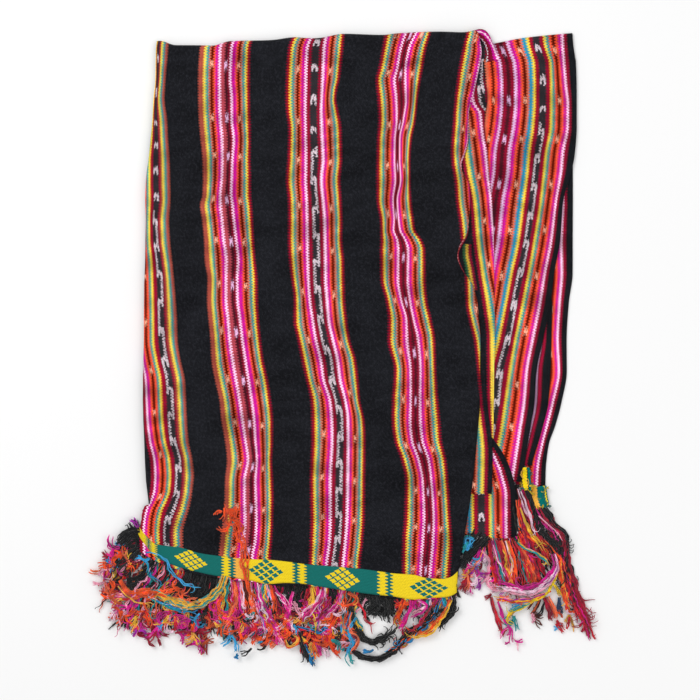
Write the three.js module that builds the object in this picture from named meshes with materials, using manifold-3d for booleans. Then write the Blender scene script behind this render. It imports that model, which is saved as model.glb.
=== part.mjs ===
// A handwoven wrap cloth, folded and laid flat on a table: the striped front panel over its hidden
// layers, the loose layers that show along its right side, a wrapped border band at each end, and the
// knotless warp fringe below both hems.
//
// Millimetres, +Z up. The cloth lies on Z = 0, its far folded edge towards +Y and its hem towards -Y.
// Plan positions are drafted on squared paper: x counts squares to the right and y squares down from
// the top left corner of the sheet, and one square is SQUARE millimetres.

import * as THREE from "three";
import Module from "manifold-3d";

const wasm = await Module();
wasm.setup();

// ---------------------------------------------------------------- driving dimensions

const SQUARE = 1.4; // one square of the drafting paper
const SHEET_CENTRE = { x: 340.8, y: 347.5 }; // the square that lies on the part's origin
const CLOTH = 1.6; // thickness of one layer of the woven cloth
const GAP = 0.3; // clearance between pieces that lie on or beside each other
const PLY = CLOTH + GAP; // rise from one layer to the next
const BAND = 1; // how far the wrapped border band stands off the cloth
const ROLL = { left: 9, far: 8, right: 5, side_far: 6 }; // plan width of the rounded folds
const RIM = { left: 5.8, far: 5.8, side_far: 0.3 }; // height of the lower rim of those folds
const TUCK = 18; // squares by which the side layers reach under the front panel
const BAND_SHARES = [0.958, 0.978, 0.997]; // the border band's rows, as shares of the panel's length
const LOCK = { sides: 3, steps: 3, root: 1.2, tip: 0.7 }; // a fringe lock, radii in millimetres
const BACKING = { deep: 1.6, high: 2.2, off: 0.9 }; // a fringe backing; off is squares from its hem
const FLOOR_CLEARANCE = 0.35; // between the loose ends of the fringe and the table

// Under layers' two folds, below the front panel's rim: outward reach and height in millimetres.
const LOWER_FOLDS = [
  { out: 0, z: 5.5 },
  { out: 1.6, z: 4.2 },
  { out: 0.2, z: 2.8 },
  { out: 1.6, z: 1.4 },
  { out: 0.4, z: 0 },
];

// ---------------------------------------------------------------- short tables, in squares

// The front panel's side edges, from the far fold down to the hem.
const FRONT_SIDES = [
  { y: 34, left: 158, right: 488 },
  { y: 60, left: 155.4, right: 483 },
  { y: 90, left: 154.3, right: 473 },
  { y: 120, left: 152, right: 468.6 },
  { y: 150, left: 149, right: 465.2 },
  { y: 180, left: 146, right: 468 },
  { y: 215, left: 145, right: 470 },
  { y: 240, left: 144.6, right: 464 },
  { y: 258, left: 144.4, right: 459 },
  { y: 285, left: 143.4, right: 473 },
  { y: 320, left: 143.4, right: 479 },
  { y: 360, left: 142.6, right: 480 },
  { y: 400, left: 142, right: 480 },
  { y: 440, left: 143.4, right: 477 },
  { y: 480, left: 145, right: 473 },
  { y: 503, left: 149.5, right: 469.6 },
  { y: 516, left: 142.5, right: 468 },
  { y: 550, left: 138, right: 463 },
  { y: 575, left: 136, right: 458.5 },
  { y: 600, left: 136, right: 456 },
];

// The front panel's far folded edge and its hem, from left to right.
const FRONT_ENDS = [
  { x: 136, far: 44, near: 549 },
  { x: 160, far: 40.5, near: 563 },
  { x: 200, far: 45, near: 575 },
  { x: 235, far: 40.5, near: 580 },
  { x: 270, far: 39.5, near: 585 },
  { x: 305, far: 37, near: 587.5 },
  { x: 345, far: 34, near: 591 },
  { x: 382, far: 34, near: 597 },
  { x: 415, far: 32.5, near: 600.5 },
  { x: 440, far: 31.5, near: 599 },
  { x: 457, far: 30, near: 593 },
  { x: 490, far: 28.5, near: 590 },
];

// Height of the front panel's face at its left, middle and right, and of its right rim, in mm.
const FRONT_HEIGHTS = [
  { y: 30, left: 13, middle: 13.5, right: 14, rim: 5.8 },
  { y: 120, left: 14, middle: 13, right: 13.5, rim: 5.8 },
  { y: 280, left: 14, middle: 13, right: 13.5, rim: 7.7 },
  { y: 410, left: 15, middle: 13.5, right: 14.5, rim: 9.5 },
  { y: 495, left: 15, middle: 12.5, right: 14, rim: 9.5 },
  { y: 540, left: 12, middle: 10.5, right: 12, rim: 5 },
  { y: 600, left: 8.5, middle: 8, right: 9.5, rim: 4 },
];

// The front panel's largest folds: soft ridges and troughs, each along a line. Width and height in mm.
const FRONT_FOLDS = [
  { x0: 399, y0: 95, x1: 395, y1: 235, width: 9, height: -3 }, // the pinched stripe
  { x0: 385, y0: 60, x1: 381, y1: 100, width: 12, height: 1.6 },
  { x0: 330, y0: 70, x1: 334, y1: 125, width: 12, height: -1.8 },
  { x0: 422, y0: 240, x1: 432, y1: 330, width: 14, height: 1.8 },
  { x0: 292, y0: 290, x1: 306, y1: 380, width: 16, height: 1.6 },
  { x0: 214, y0: 190, x1: 204, y1: 215, width: 12, height: -1.5 },
  { x0: 222, y0: 380, x1: 236, y1: 465, width: 18, height: 1.8 },
  { x0: 392, y0: 425, x1: 410, y1: 475, width: 14, height: 1.8 },
  { x0: 162, y0: 200, x1: 168, y1: 330, width: 14, height: 1.4 },
  { x0: 186, y0: 420, x1: 190, y1: 500, width: 16, height: 2.2 },
  { x0: 172, y0: 492, x1: 146, y1: 506, width: 7, height: -4 }, // the tuck above the lower left roll
  { x0: 156, y0: 515, x1: 152, y1: 540, width: 14, height: 1.8 },
  { x0: 250, y0: 250, x1: 262, y1: 420, width: 30, height: -1.2 },
  { x0: 360, y0: 130, x1: 366, y1: 330, width: 34, height: 1.2 },
  { x0: 440, y0: 340, x1: 452, y1: 480, width: 26, height: -1.4 },
];

// Selvedges and edges of the layers that show at the right side.
const SIDE_SELVEDGE = [
  { y: 34, x: 574 },
  { y: 60, x: 575.5 },
  { y: 90, x: 576 },
  { y: 140, x: 576 },
  { y: 175, x: 570 },
  { y: 205, x: 563 },
  { y: 240, x: 560 },
  { y: 285, x: 553 },
  { y: 320, x: 547.5 },
  { y: 371, x: 537 },
  { y: 402, x: 534.5 },
  { y: 432, x: 530 },
  { y: 455, x: 526.5 },
  { y: 486, x: 522 },
];
const MIDDLE_SELVEDGE = [
  { y: 300, x: 553 },
  { y: 340, x: 552 },
  { y: 371, x: 551 },
  { y: 402, x: 549 },
  { y: 432, x: 542 },
  { y: 462, x: 533 },
];
const UNDER_SELVEDGE = [
  { y: 60, x: 571 },
  { y: 150, x: 574 },
  { y: 290, x: 572 },
  { y: 312, x: 568.3 },
  { y: 370, x: 568 },
  { y: 402, x: 562.5 },
  { y: 426, x: 556 },
  { y: 445, x: 549.5 },
  { y: 470, x: 546.5 },
  { y: 492, x: 546 },
];
const INNER_EDGE = [
  { y: 62, x: 488 },
  { y: 140, x: 488 },
  { y: 180, x: 490.5 },
  { y: 215, x: 493 },
  { y: 285, x: 494.5 },
  { y: 320, x: 495 },
  { y: 370, x: 493.6 },
  { y: 431, x: 489 },
];
const UPPER_FLAP_EDGE = [
  { y: 418, x: 489.5 },
  { y: 453, x: 492.8 },
  { y: 494, x: 492 },
];
const LOWER_FLAP_EDGE = [
  { y: 433, x: 489 },
  { y: 453, x: 503 },
  { y: 463, x: 508 },
  { y: 474, x: 512 },
  { y: 497, x: 517 },
  { y: 540, x: 517.5 },
];
const SIDE_FAR = [
  { x: 460, y: 50 },
  { x: 480, y: 46 },
  { x: 505, y: 42 },
  { x: 540, y: 37 },
  { x: 577, y: 34 },
];

// Height of the lower flap's underside, in millimetres, as it comes down off the side panel.
const FLAP_FALL = [
  { y: 433, z: 5.7 },
  { y: 486, z: 5.7 },
  { y: 499, z: 2.2 },
  { y: 510, z: 0 },
  { y: 545, z: 0 },
];

// What shows of the rear border band: two short gathered lengths. Lift and high in millimetres.
const REAR_BANDS = [
  { name: "band_rear_1", left: 525.5, right: 531.5, far: 467.5, near: 490, lift: 1.9, high: 3.6 },
  { name: "band_rear_2", left: 532.5, right: 547, far: 494, near: 508.5, lift: 0, high: 3.2 },
];

// Guide locks of the fringe: the root on the hem, the pull of the curve and the loose end.
const FRONT_FRINGE = [
  { root: 140, mid_x: 121, mid_y: 562, end_x: 119, end_y: 524 },
  { root: 147, mid_x: 115, mid_y: 574, end_x: 101, end_y: 548 },
  { root: 156, mid_x: 120, mid_y: 588, end_x: 93, end_y: 589 },
  { root: 168, mid_x: 138, mid_y: 604, end_x: 111, end_y: 617 },
  { root: 182, mid_x: 158, mid_y: 624, end_x: 134, end_y: 652 },
  { root: 198, mid_x: 186, mid_y: 622, end_x: 186, end_y: 654 },
  { root: 222, mid_x: 218, mid_y: 625, end_x: 220, end_y: 652 },
  { root: 242, mid_x: 240, mid_y: 628, end_x: 246, end_y: 662 },
  { root: 262, mid_x: 262, mid_y: 628, end_x: 268, end_y: 650 },
  { root: 285, mid_x: 285, mid_y: 628, end_x: 290, end_y: 652 },
  { root: 305, mid_x: 305, mid_y: 638, end_x: 312, end_y: 668 },
  { root: 325, mid_x: 325, mid_y: 632, end_x: 332, end_y: 658 },
  { root: 345, mid_x: 345, mid_y: 632, end_x: 349, end_y: 660 },
  { root: 366, mid_x: 363, mid_y: 637, end_x: 367, end_y: 661 },
  { root: 387, mid_x: 382, mid_y: 632, end_x: 386, end_y: 652 },
  { root: 408, mid_x: 403, mid_y: 632, end_x: 407, end_y: 648 },
  { root: 430, mid_x: 426, mid_y: 622, end_x: 426, end_y: 638 },
  { root: 453, mid_x: 454, mid_y: 613, end_x: 446, end_y: 626 },
];
const FLAP_FRINGE = [
  { root: 469, mid_x: 463, mid_y: 570, end_x: 460, end_y: 598 },
  { root: 484, mid_x: 482, mid_y: 580, end_x: 487, end_y: 606 },
  { root: 500, mid_x: 508, mid_y: 592, end_x: 506, end_y: 642 },
  { root: 516, mid_x: 536, mid_y: 586, end_x: 550, end_y: 612 },
];
const REAR_FRINGE = [
  { root: 523, mid_x: 543, mid_y: 552, end_x: 561, end_y: 598 },
  { root: 534, mid_x: 560, mid_y: 556, end_x: 578, end_y: 616 },
  { root: 546, mid_x: 574, mid_y: 550, end_x: 596, end_y: 637 },
];

// One backing for each length of hem, and the locks on it.
const BACKINGS = [
  { name: "fringe_front_1", guides: FRONT_FRINGE, from: 142.5, to: 198, locks: 24, root_z: 4 },
  { name: "fringe_front_2", guides: FRONT_FRINGE, from: 200, to: 262, locks: 19, root_z: 3.5 },
  { name: "fringe_front_3", guides: FRONT_FRINGE, from: 264, to: 325, locks: 19, root_z: 3.5 },
  { name: "fringe_front_4", guides: FRONT_FRINGE, from: 327, to: 388, locks: 19, root_z: 3.5 },
  { name: "fringe_front_5", guides: FRONT_FRINGE, from: 390, to: 453, locks: 19, root_z: 4 },
  { name: "fringe_rear_1", guides: FLAP_FRINGE, from: 469, to: 516, locks: 16, root_z: 1.6 },
  { name: "fringe_rear_2", guides: REAR_FRINGE, from: 523, to: 546, locks: 10, root_z: 1.6 },
];

// ---------------------------------------------------------------- helpers

const toX = (x) => (x - SHEET_CENTRE.x) * SQUARE;
const toY = (y) => (SHEET_CENTRE.y - y) * SQUARE;
const mix = (a, b, t) => a + (b - a) * t;
const clamp = (v, low, high) => Math.min(high, Math.max(low, v));
const smooth = (t) => t * t * (3 - 2 * t);
const spread = (count, from = 0, to = 1) =>
  Array.from({ length: count }, (_, i) => mix(from, to, i / (count - 1)));

// The value of a table's column between its rows, on a curve that doesn't overshoot.
function read(table, key, column, at) {
  const last = table.length - 1;
  if (at <= table[0][key]) return table[0][column];
  if (at >= table[last][key]) return table[last][column];
  const i = table.findIndex((row, k) => k < last && at < table[k + 1][key]);
  const slope = (k) =>
    (table[k + 1][column] - table[k][column]) / (table[k + 1][key] - table[k][key]);
  const tangent = (k) => {
    if (k === 0 || k === last) return slope(Math.min(k, last - 1));
    const before = slope(k - 1);
    const after = slope(k);
    return before * after <= 0 ? 0 : (2 * before * after) / (before + after);
  };
  const step = table[i + 1][key] - table[i][key];
  const t = (at - table[i][key]) / step;
  const rise = table[i + 1][column] - table[i][column];
  const a = tangent(i) * step;
  const b = tangent(i + 1) * step;
  return table[i][column] + t * (a + t * (3 * rise - 2 * a - b + t * (a + b - 2 * rise)));
}

const edge = (table) => (y) => read(table, "y", "x", y);

function closed(points, index) {
  const geometry = new THREE.BufferGeometry();
  geometry.setAttribute("position", new THREE.Float32BufferAttribute(points.flat(), 3));
  geometry.setIndex(index);
  geometry.computeVertexNormals();
  return geometry;
}

// A closed mesh from two grids of points, upper and lower, with the same rows and columns. Rows run
// down the sheet and columns to the right.
function wall(upper, lower) {
  const rows = upper.length;
  const columns = upper[0].length;
  const index = [];
  const up = (r, c) => r * columns + c;
  const down = (r, c) => (rows + r) * columns + c;
  const quad = (a, b, c, d) => index.push(a, b, c, a, c, d);
  for (let r = 0; r < rows - 1; r++) {
    for (let c = 0; c < columns - 1; c++) {
      quad(up(r, c), up(r + 1, c), up(r + 1, c + 1), up(r, c + 1));
      quad(down(r, c), down(r, c + 1), down(r + 1, c + 1), down(r + 1, c));
    }
    const e = columns - 1;
    quad(up(r, 0), down(r, 0), down(r + 1, 0), up(r + 1, 0));
    quad(up(r + 1, e), down(r + 1, e), down(r, e), up(r, e));
  }
  for (let c = 0; c < columns - 1; c++) {
    const e = rows - 1;
    quad(up(0, c + 1), down(0, c + 1), down(0, c), up(0, c));
    quad(up(e, c), down(e, c), down(e, c + 1), up(e, c + 1));
  }
  return closed([...upper.flat(), ...lower.flat()], index);
}

function cloth(name, geometry, colour) {
  const material = new THREE.MeshStandardMaterial({ color: colour, roughness: 0.9, metalness: 0 });
  const mesh = new THREE.Mesh(geometry, material);
  mesh.name = name;
  return mesh;
}

// ---------------------------------------------------------------- sheets

// A sheet is its plan edges, its rounded folds and the height of its face. A column is a share across
// it, or a place round a side fold; a row is a share down it, or a place round the far fold. A roll of
// 1 is at the fold's rim and of 0 where the face is level.
const ROUND = [1, 0.93, 0.72, 0.38];
const level = (share) => ({ share, roll: 0, side: share < 0.5 ? "left" : "right" });
const rolled = (share, side) => ROUND.map((roll) => ({ share, roll, side }));

function place(sheet, column, row, inset) {
  const room = (side) => (sheet.roll[side] ?? 0) / SQUARE;
  let x = 0;
  let y = mix(sheet.far(300), sheet.near(300), row.share);
  for (let pass = 0; pass < 4; pass++) {
    x = mix(sheet.left(y) + room("left"), sheet.right(y) - room("right"), column.share);
    y = mix(sheet.far(x) + room("far"), sheet.near(x), row.share);
  }
  const round_x = column.roll * Math.sqrt(1 - row.roll ** 2 / 2);
  const round_y = row.roll * Math.sqrt(1 - column.roll ** 2 / 2);
  const out = column.side === "left" ? -1 : 1;
  const rim_side = sheet.rim(column.side, y);
  if (column.roll) x += out * room(column.side) * round_x * (1 - inset / sheet.roll[column.side]);
  if (row.roll) y -= room("far") * round_y * (1 - inset / sheet.roll.far);
  const weight = column.roll ** 2 / (column.roll ** 2 + row.roll ** 2 || 1);
  const rim = mix(sheet.rim("far", y), rim_side, weight);
  const height = Math.sqrt(Math.max(0, 1 - round_x ** 2 - round_y ** 2));
  return [toX(x), toY(y), mix(rim, sheet.face(x, y) - inset, height)];
}

const grid = (sheet, columns, rows, inset = 0) =>
  rows.map((row) => columns.map((column) => place(sheet, column, row, inset)));

const layer = (sheet, columns, rows) =>
  wall(grid(sheet, columns, rows), grid(sheet, columns, rows, CLOTH));

// ---------------------------------------------------------------- the front panel and its layers

// How much the large folds lift the face at a place on the sheet.
function foldLift(x, y) {
  let lift = 0;
  for (const f of FRONT_FOLDS) {
    const dx = f.x1 - f.x0;
    const dy = f.y1 - f.y0;
    const length = Math.hypot(dx, dy);
    const along = ((x - f.x0) * dx + (y - f.y0) * dy) / length;
    const across = (((x - f.x0) * dy - (y - f.y0) * dx) / length) * SQUARE;
    const past = Math.max(0, -along, along - length) * SQUARE;
    lift += f.height * Math.exp(-((across / f.width) ** 2) - (past / (1.6 * f.width)) ** 2);
  }
  return lift;
}

function frontFace(x, y) {
  const left = FRONT.left(y);
  const share = clamp((x - left) / (FRONT.right(y) - left), 0, 1);
  const middle = read(FRONT_HEIGHTS, "y", "middle", y);
  const side = read(FRONT_HEIGHTS, "y", share < 0.5 ? "left" : "right", y);
  return mix(middle, side, smooth(Math.abs(share - 0.5) * 2)) + foldLift(x, y);
}

const FRONT = {
  left: (y) => read(FRONT_SIDES, "y", "left", y),
  right: (y) => read(FRONT_SIDES, "y", "right", y),
  far: (x) => read(FRONT_ENDS, "x", "far", x),
  near: (x) => read(FRONT_ENDS, "x", "near", x),
  roll: ROLL,
  rim: (side, y) => (side === "right" ? read(FRONT_HEIGHTS, "y", "rim", y) : RIM[side]),
  face: frontFace,
};

// The panel has a row at each row of its table, at most LONGEST squares apart, and three for the band.
const LONGEST = 30;
const LEFT_END = { far: 49, near: 556 }; // where the panel's left side starts and ends
const FRONT_ROWS = [
  ...rolled(0, "far"),
  ...FRONT_SIDES.slice(1).flatMap((row, i) => {
    const before = Math.max(FRONT_SIDES[i].y, LEFT_END.far);
    const count = Math.max(1, Math.ceil((row.y - before) / LONGEST));
    return spread(count + 1, before, row.y).slice(0, -1);
  })
    .map((y) => (y - LEFT_END.far) / (LEFT_END.near - LEFT_END.far))
    .filter((share) => share < BAND_SHARES[0] - 0.01)
    .map(level),
  ...[...BAND_SHARES, 1].map(level),
];
const FRONT_COLUMNS = [
  ...rolled(0, "left"),
  ...spread(16).map(level),
  ...rolled(1, "right").toReversed(),
];

// The hidden layers: one solid that fills the front panel, on two folds of its own that show below
// the front panel's rim at the left and at the far end.
function foldedLayers() {
  const columns = FRONT_COLUMNS.slice(0, -ROUND.length - 1);
  const rows = FRONT_ROWS.slice(0, -1);
  const top = grid(FRONT, columns, rows, PLY);
  const last_row = rows.length - 1;
  const last_column = columns.length - 1;
  const width = columns.length;
  const points = top.flat();
  const index = [];
  const quad = (a, b, c, d) => index.push(a, b, c, a, c, d);
  for (let r = 0; r < last_row; r++) {
    for (let c = 0; c < last_column; c++) {
      const a = r * width + c;
      quad(a, a + width, a + width + 1, a + 1);
    }
  }
  // The loop round the upper face, anticlockwise from above, starting at its far left corner.
  const loop = [];
  for (let r = 0; r < last_row; r++) loop.push([r, 0]);
  for (let c = 0; c < last_column; c++) loop.push([last_row, c]);
  for (let r = last_row; r > 0; r--) loop.push([r, last_column]);
  for (let c = last_column; c > 0; c--) loop.push([0, c]);
  let above = loop.map(([r, c]) => r * width + c);
  for (const ring of LOWER_FOLDS) {
    const below = loop.map(([r, c]) => {
      const [x, y] = top[r][c];
      const shift_x = c === 0 ? -ring.out : 0;
      const shift_y = r === 0 ? ring.out : 0;
      return points.push([x + shift_x, y + shift_y, ring.z]) - 1;
    });
    above.forEach((a, i) => {
      const next = (i + 1) % above.length;
      quad(a, below[i], below[next], above[next]);
    });
    above = below;
  }
  const outline = above.map((i) => new THREE.Vector2(points[i][0], points[i][1]));
  for (const [a, b, c] of THREE.ShapeUtils.triangulateShape(outline, []))
    index.push(above[a], above[c], above[b]);
  return closed(points, index);
}

// ---------------------------------------------------------------- the layers at the right side

const tucked = (y) => FRONT.right(y) - TUCK;
const flat = { roll: {}, rim: () => 0 };

// The side panel's underside rises by a ply where the middle layer comes between it and the under one.
const sideLift = (y) => PLY + PLY * smooth(clamp((y - 150) / 150, 0, 1));
const flapLift = (y) => read(FLAP_FALL, "y", "z", y);

const SIDE = {
  left: tucked,
  right: edge(SIDE_SELVEDGE),
  far: (x) => read(SIDE_FAR, "x", "y", x),
  near: () => 482,
  roll: { far: ROLL.side_far },
  rim: () => RIM.side_far,
  face: (x, y) => sideLift(y) + CLOTH,
};
const UNDER = {
  ...flat,
  left: tucked,
  right: edge(UNDER_SELVEDGE),
  far: (x) => read(SIDE_FAR, "x", "y", x) + 6,
  near: () => 491,
  face: () => CLOTH,
};
const MIDDLE = {
  ...flat,
  left: (y) => edge(MIDDLE_SELVEDGE)(y) - 18,
  right: edge(MIDDLE_SELVEDGE),
  far: () => 300,
  near: () => 462,
  face: () => PLY + CLOTH,
};
const INNER = {
  ...flat,
  left: tucked,
  right: edge(INNER_EDGE),
  far: () => 62,
  near: () => 431,
  face: (x, y) => sideLift(y) + PLY + CLOTH,
};
const LOWER_FLAP = {
  ...flat,
  left: tucked,
  right: edge(LOWER_FLAP_EDGE),
  far: () => 433,
  near: (x) => mix(535.5, 542, clamp((x - 466) / 52, 0, 1)),
  face: (x, y) => flapLift(y) + CLOTH,
};
const UPPER_FLAP = {
  ...flat,
  left: tucked,
  right: edge(UPPER_FLAP_EDGE),
  far: () => 418,
  near: () => 494,
  face: (x, y) => flapLift(y - 5) + PLY + CLOTH,
};

const even = (count) => spread(count).map(level);

// ---------------------------------------------------------------- the border bands

// The front band lies on the panel along its hem and round its left fold.
function frontBand() {
  const columns = FRONT_COLUMNS.slice(1, -ROUND.length + 1);
  const rows = BAND_SHARES.map(level);
  return wall(grid(FRONT, columns, rows, -GAP - BAND), grid(FRONT, columns, rows, -GAP));
}

function rearBand(band) {
  const gather = { high: 0.9, columns: 7, rows: 9 };
  const face = (top) =>
    spread(gather.rows, band.far, band.near).map((y, r) =>
      spread(gather.columns, band.left, band.right).map((x, c) => {
        const wave = gather.high * Math.cos(Math.PI * c) * Math.sin((Math.PI * r) / 2);
        return [toX(x), toY(y), band.lift + (top ? band.high + wave : 0)];
      }),
    );
  return wall(face(true), face(false));
}

// ---------------------------------------------------------------- the fringe

// A tapered lock of few sides along a path.
function lock(path) {
  const last = path.length - 1;
  const points = path.flatMap((p, i) => {
    const forward = path[Math.min(last, i + 1)].clone().sub(path[Math.max(0, i - 1)]).normalize();
    const across = new THREE.Vector3(-forward.y, forward.x, 0).normalize();
    const up = new THREE.Vector3().crossVectors(forward, across);
    const radius = mix(LOCK.root, LOCK.tip, i / last);
    return spread(LOCK.sides + 1, 0.5 * Math.PI, 2.5 * Math.PI)
      .slice(0, -1)
      .map((angle) =>
        p
          .clone()
          .addScaledVector(across, radius * Math.cos(angle))
          .addScaledVector(up, radius * Math.sin(angle))
          .toArray(),
      );
  });
  const index = [];
  for (let i = 0; i < last; i++) {
    for (let k = 0; k < LOCK.sides; k++) {
      const a = i * LOCK.sides + k;
      const b = i * LOCK.sides + ((k + 1) % LOCK.sides);
      index.push(a, b, b + LOCK.sides, a, b + LOCK.sides, a + LOCK.sides);
    }
  }
  const end = last * LOCK.sides;
  index.push(2, 1, 0, end, end + 1, end + 2);
  return closed(points, index);
}

function solid(geometry) {
  return new wasm.Manifold(
    new wasm.Mesh({
      numProp: 3,
      vertProperties: geometry.attributes.position.array,
      triVerts: new Uint32Array(geometry.index.array),
    }),
  );
}

function geometryOf(made) {
  const mesh = made.getMesh();
  const points = [];
  for (let i = 0; i < mesh.numVert; i++)
    points.push([...mesh.vertProperties.subarray(i * mesh.numProp, i * mesh.numProp + 3)]);
  return closed(points, [...mesh.triVerts]);
}

// The hem that the fringe hangs from, in squares.
function hemAt(x) {
  if (x < 460) return FRONT.near(x);
  return x < 520 ? LOWER_FLAP.near(x) : REAR_BANDS[1].near;
}

function fringe(backing) {
  const { guides, root_z } = backing;
  const lie = LOCK.root + FLOOR_CLEARANCE;
  // A place on the fringe: its root's x, and a share from the root to the loose end.
  const at = (root, share) => {
    const curve = (start, mid, end) =>
      (1 - share) ** 2 * start + 2 * share * (1 - share) * mid + share ** 2 * end;
    const get = (column) => read(guides, "root", column, root);
    const y = hemAt(root) + BACKING.off;
    return [
      toX(curve(root, get("mid_x"), get("end_x"))), toY(curve(y, get("mid_y"), get("end_y"))),
    ];
  };
  const face = (z) =>
    [0, -BACKING.deep].map((down) =>
      spread(9, backing.from, backing.to).map((root) => {
        const [x, y] = at(root, 0);
        return [x, y + down, root_z + z];
      }),
    );
  let made = solid(wall(face(BACKING.high / 2), face(-BACKING.high / 2)));
  const margin = (backing.to - backing.from) / backing.locks / 2;
  spread(backing.locks, backing.from + margin, backing.to - margin).forEach((root, i) => {
    const length = 1 - 0.07 * ((i * 3) % 5) * (i % 2 ? 1 : 0.4);
    const path = spread(LOCK.steps + 1).map((share) => {
      const [x, y] = at(root, share * length);
      const z = mix(lie, root_z, Math.exp(-6 * share)) + (i % 2) * 2.4 * Math.sin(Math.PI * share);
      return new THREE.Vector3(x, y - (share ? 0 : BACKING.deep / 2), Math.max(z, lie));
    });
    made = made.add(solid(lock(path)));
  });
  return geometryOf(made);
}

// ---------------------------------------------------------------- the part

const wrap = new THREE.Group();
const fold_rows = rolled(0, "far");
wrap.add(
  cloth("front_panel", layer(FRONT, FRONT_COLUMNS, FRONT_ROWS), 0x17181c),
  cloth("folded_layers", foldedLayers(), 0x17181c),
  cloth("side_panel", layer(SIDE, even(7), [...fold_rows, ...even(18)]), 0xa01b32),
  cloth("middle_layer", layer(MIDDLE, even(3), even(8)), 0x8a1230),
  cloth("under_layer", layer(UNDER, even(6), even(18)), 0xd42a72),
  cloth("inner_fold", layer(INNER, even(4), even(18)), 0xd8562e),
  cloth("lower_flap", layer(LOWER_FLAP, even(5), even(14)), 0xc0243c),
  cloth("upper_flap", layer(UPPER_FLAP, even(4), even(10)), 0x2a86a8),
  cloth("band_front", frontBand(), 0x0b6a63),
  ...REAR_BANDS.map((band) => cloth(band.name, rearBand(band), 0xd8c020)),
  ...BACKINGS.map((backing) => cloth(backing.name, fringe(backing), 0xc02a5a)),
);

export default wrap;
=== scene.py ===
"""The looks of the folded handwoven wrap cloth: woven cloth, border bands and loose warp fringe.

Plan positions are drafted in squares of 1.4 mm on a sheet with its first square at the top left, as
in the part's own drawing. Heights are in millimetres above the table.
"""

import math

import bpy
import numpy as np
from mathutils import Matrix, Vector, noise


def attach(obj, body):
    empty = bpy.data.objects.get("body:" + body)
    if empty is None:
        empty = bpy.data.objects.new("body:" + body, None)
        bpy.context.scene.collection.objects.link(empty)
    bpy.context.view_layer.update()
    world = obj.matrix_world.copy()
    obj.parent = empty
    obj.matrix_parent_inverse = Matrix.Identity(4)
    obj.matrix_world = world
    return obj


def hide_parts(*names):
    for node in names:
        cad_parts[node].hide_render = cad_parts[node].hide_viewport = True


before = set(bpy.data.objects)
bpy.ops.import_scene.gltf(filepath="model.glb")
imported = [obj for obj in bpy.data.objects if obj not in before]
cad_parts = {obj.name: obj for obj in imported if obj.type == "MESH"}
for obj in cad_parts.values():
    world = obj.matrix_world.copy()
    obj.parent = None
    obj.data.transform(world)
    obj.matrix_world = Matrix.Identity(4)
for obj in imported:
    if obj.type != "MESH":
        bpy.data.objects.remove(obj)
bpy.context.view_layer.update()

# ------------------------------------------------------------------------------- sizes

SQUARE = 0.0014  # metres
MM = SQUARE * 1000  # a square in millimetres
CENTRE = (340.8, 347.5)  # the frame's origin, in squares
CLOTH = 1.3  # thickness of the shown cloth, mm
PLY = 1.9  # how far each ply at the side lies above the next, mm
EDGE_THICKNESS = 0.9  # of the turned edges and the border band, mm
THREAD = 1.25  # pitch of the warp threads, squares
TEETH = 2.8  # pitch of the weft picks along a stripe's edge, squares
TICK = 44.1  # pitch of the light ticks in the brown stripes, squares
TURN = 2 * math.pi


def to_m(x, y, z):
    """Metres from squares and millimetres, for arrays or numbers."""
    return np.stack(
        [(x - CENTRE[0]) * SQUARE, (CENTRE[1] - y) * SQUARE, z / 1000 + 0 * x], axis=-1
    )


def mix(a, b, t):
    return a + (b - a) * t


def smooth(t):
    t = np.clip(t, 0, 1)
    return t * t * (3 - 2 * t)


def fixed(value):
    return lambda y: value + 0 * y


def curve(at, values):
    """A function through the points that doesn't overshoot between them, level beyond the ends."""
    at = np.asarray(at, float)
    values = np.asarray(values, float)
    step = np.diff(at)
    slope = np.diff(values) / step
    tangent = np.zeros(len(at))
    tangent[0] = slope[0]
    tangent[-1] = slope[-1]
    same = slope[:-1] * slope[1:] > 0
    total = np.where(same, slope[:-1] + slope[1:], 1)
    tangent[1:-1] = np.where(same, 2 * slope[:-1] * slope[1:] / total, 0)

    def read(x):
        x = np.clip(x, at[0], at[-1])
        i = np.clip(np.searchsorted(at, x, side="right") - 1, 0, len(at) - 2)
        t = (x - at[i]) / step[i]
        rise = values[i + 1] - values[i]
        a = tangent[i] * step[i]
        b = tangent[i + 1] * step[i]
        return values[i] + t * (a + t * (3 * rise - 2 * a - b + t * (a + b - 2 * rise)))

    return read


def rows_of(text):
    return [line.split() for line in text.strip().splitlines()]


def table(text):
    """Functions of the first column, one for each of the others, by the names in the first row."""
    names, *rows = rows_of(text)
    first, *columns = np.array(rows, float).T
    return {name: curve(first, column) for name, column in zip(names[1:], columns)}


def places_of(text):
    """Places from x,y pairs."""
    return [tuple(map(float, pair.split(","))) for pair in text.split()]


def line_through(text):
    """y as a function of x, through x,y pairs."""
    return curve(*zip(*places_of(text)))


def laid(text):
    """Rows of things laid one by one: piece, colours, numbers, then places as x,y pairs."""
    for piece, palette, *rest in rows_of(text):
        numbers = [float(word) for word in rest if "," not in word]
        places = places_of(" ".join(word for word in rest if "," in word))
        yield int(piece), palette, int(numbers[0]), numbers[1:], places


# ------------------------------------------------------------------------------- drafting tables

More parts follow.
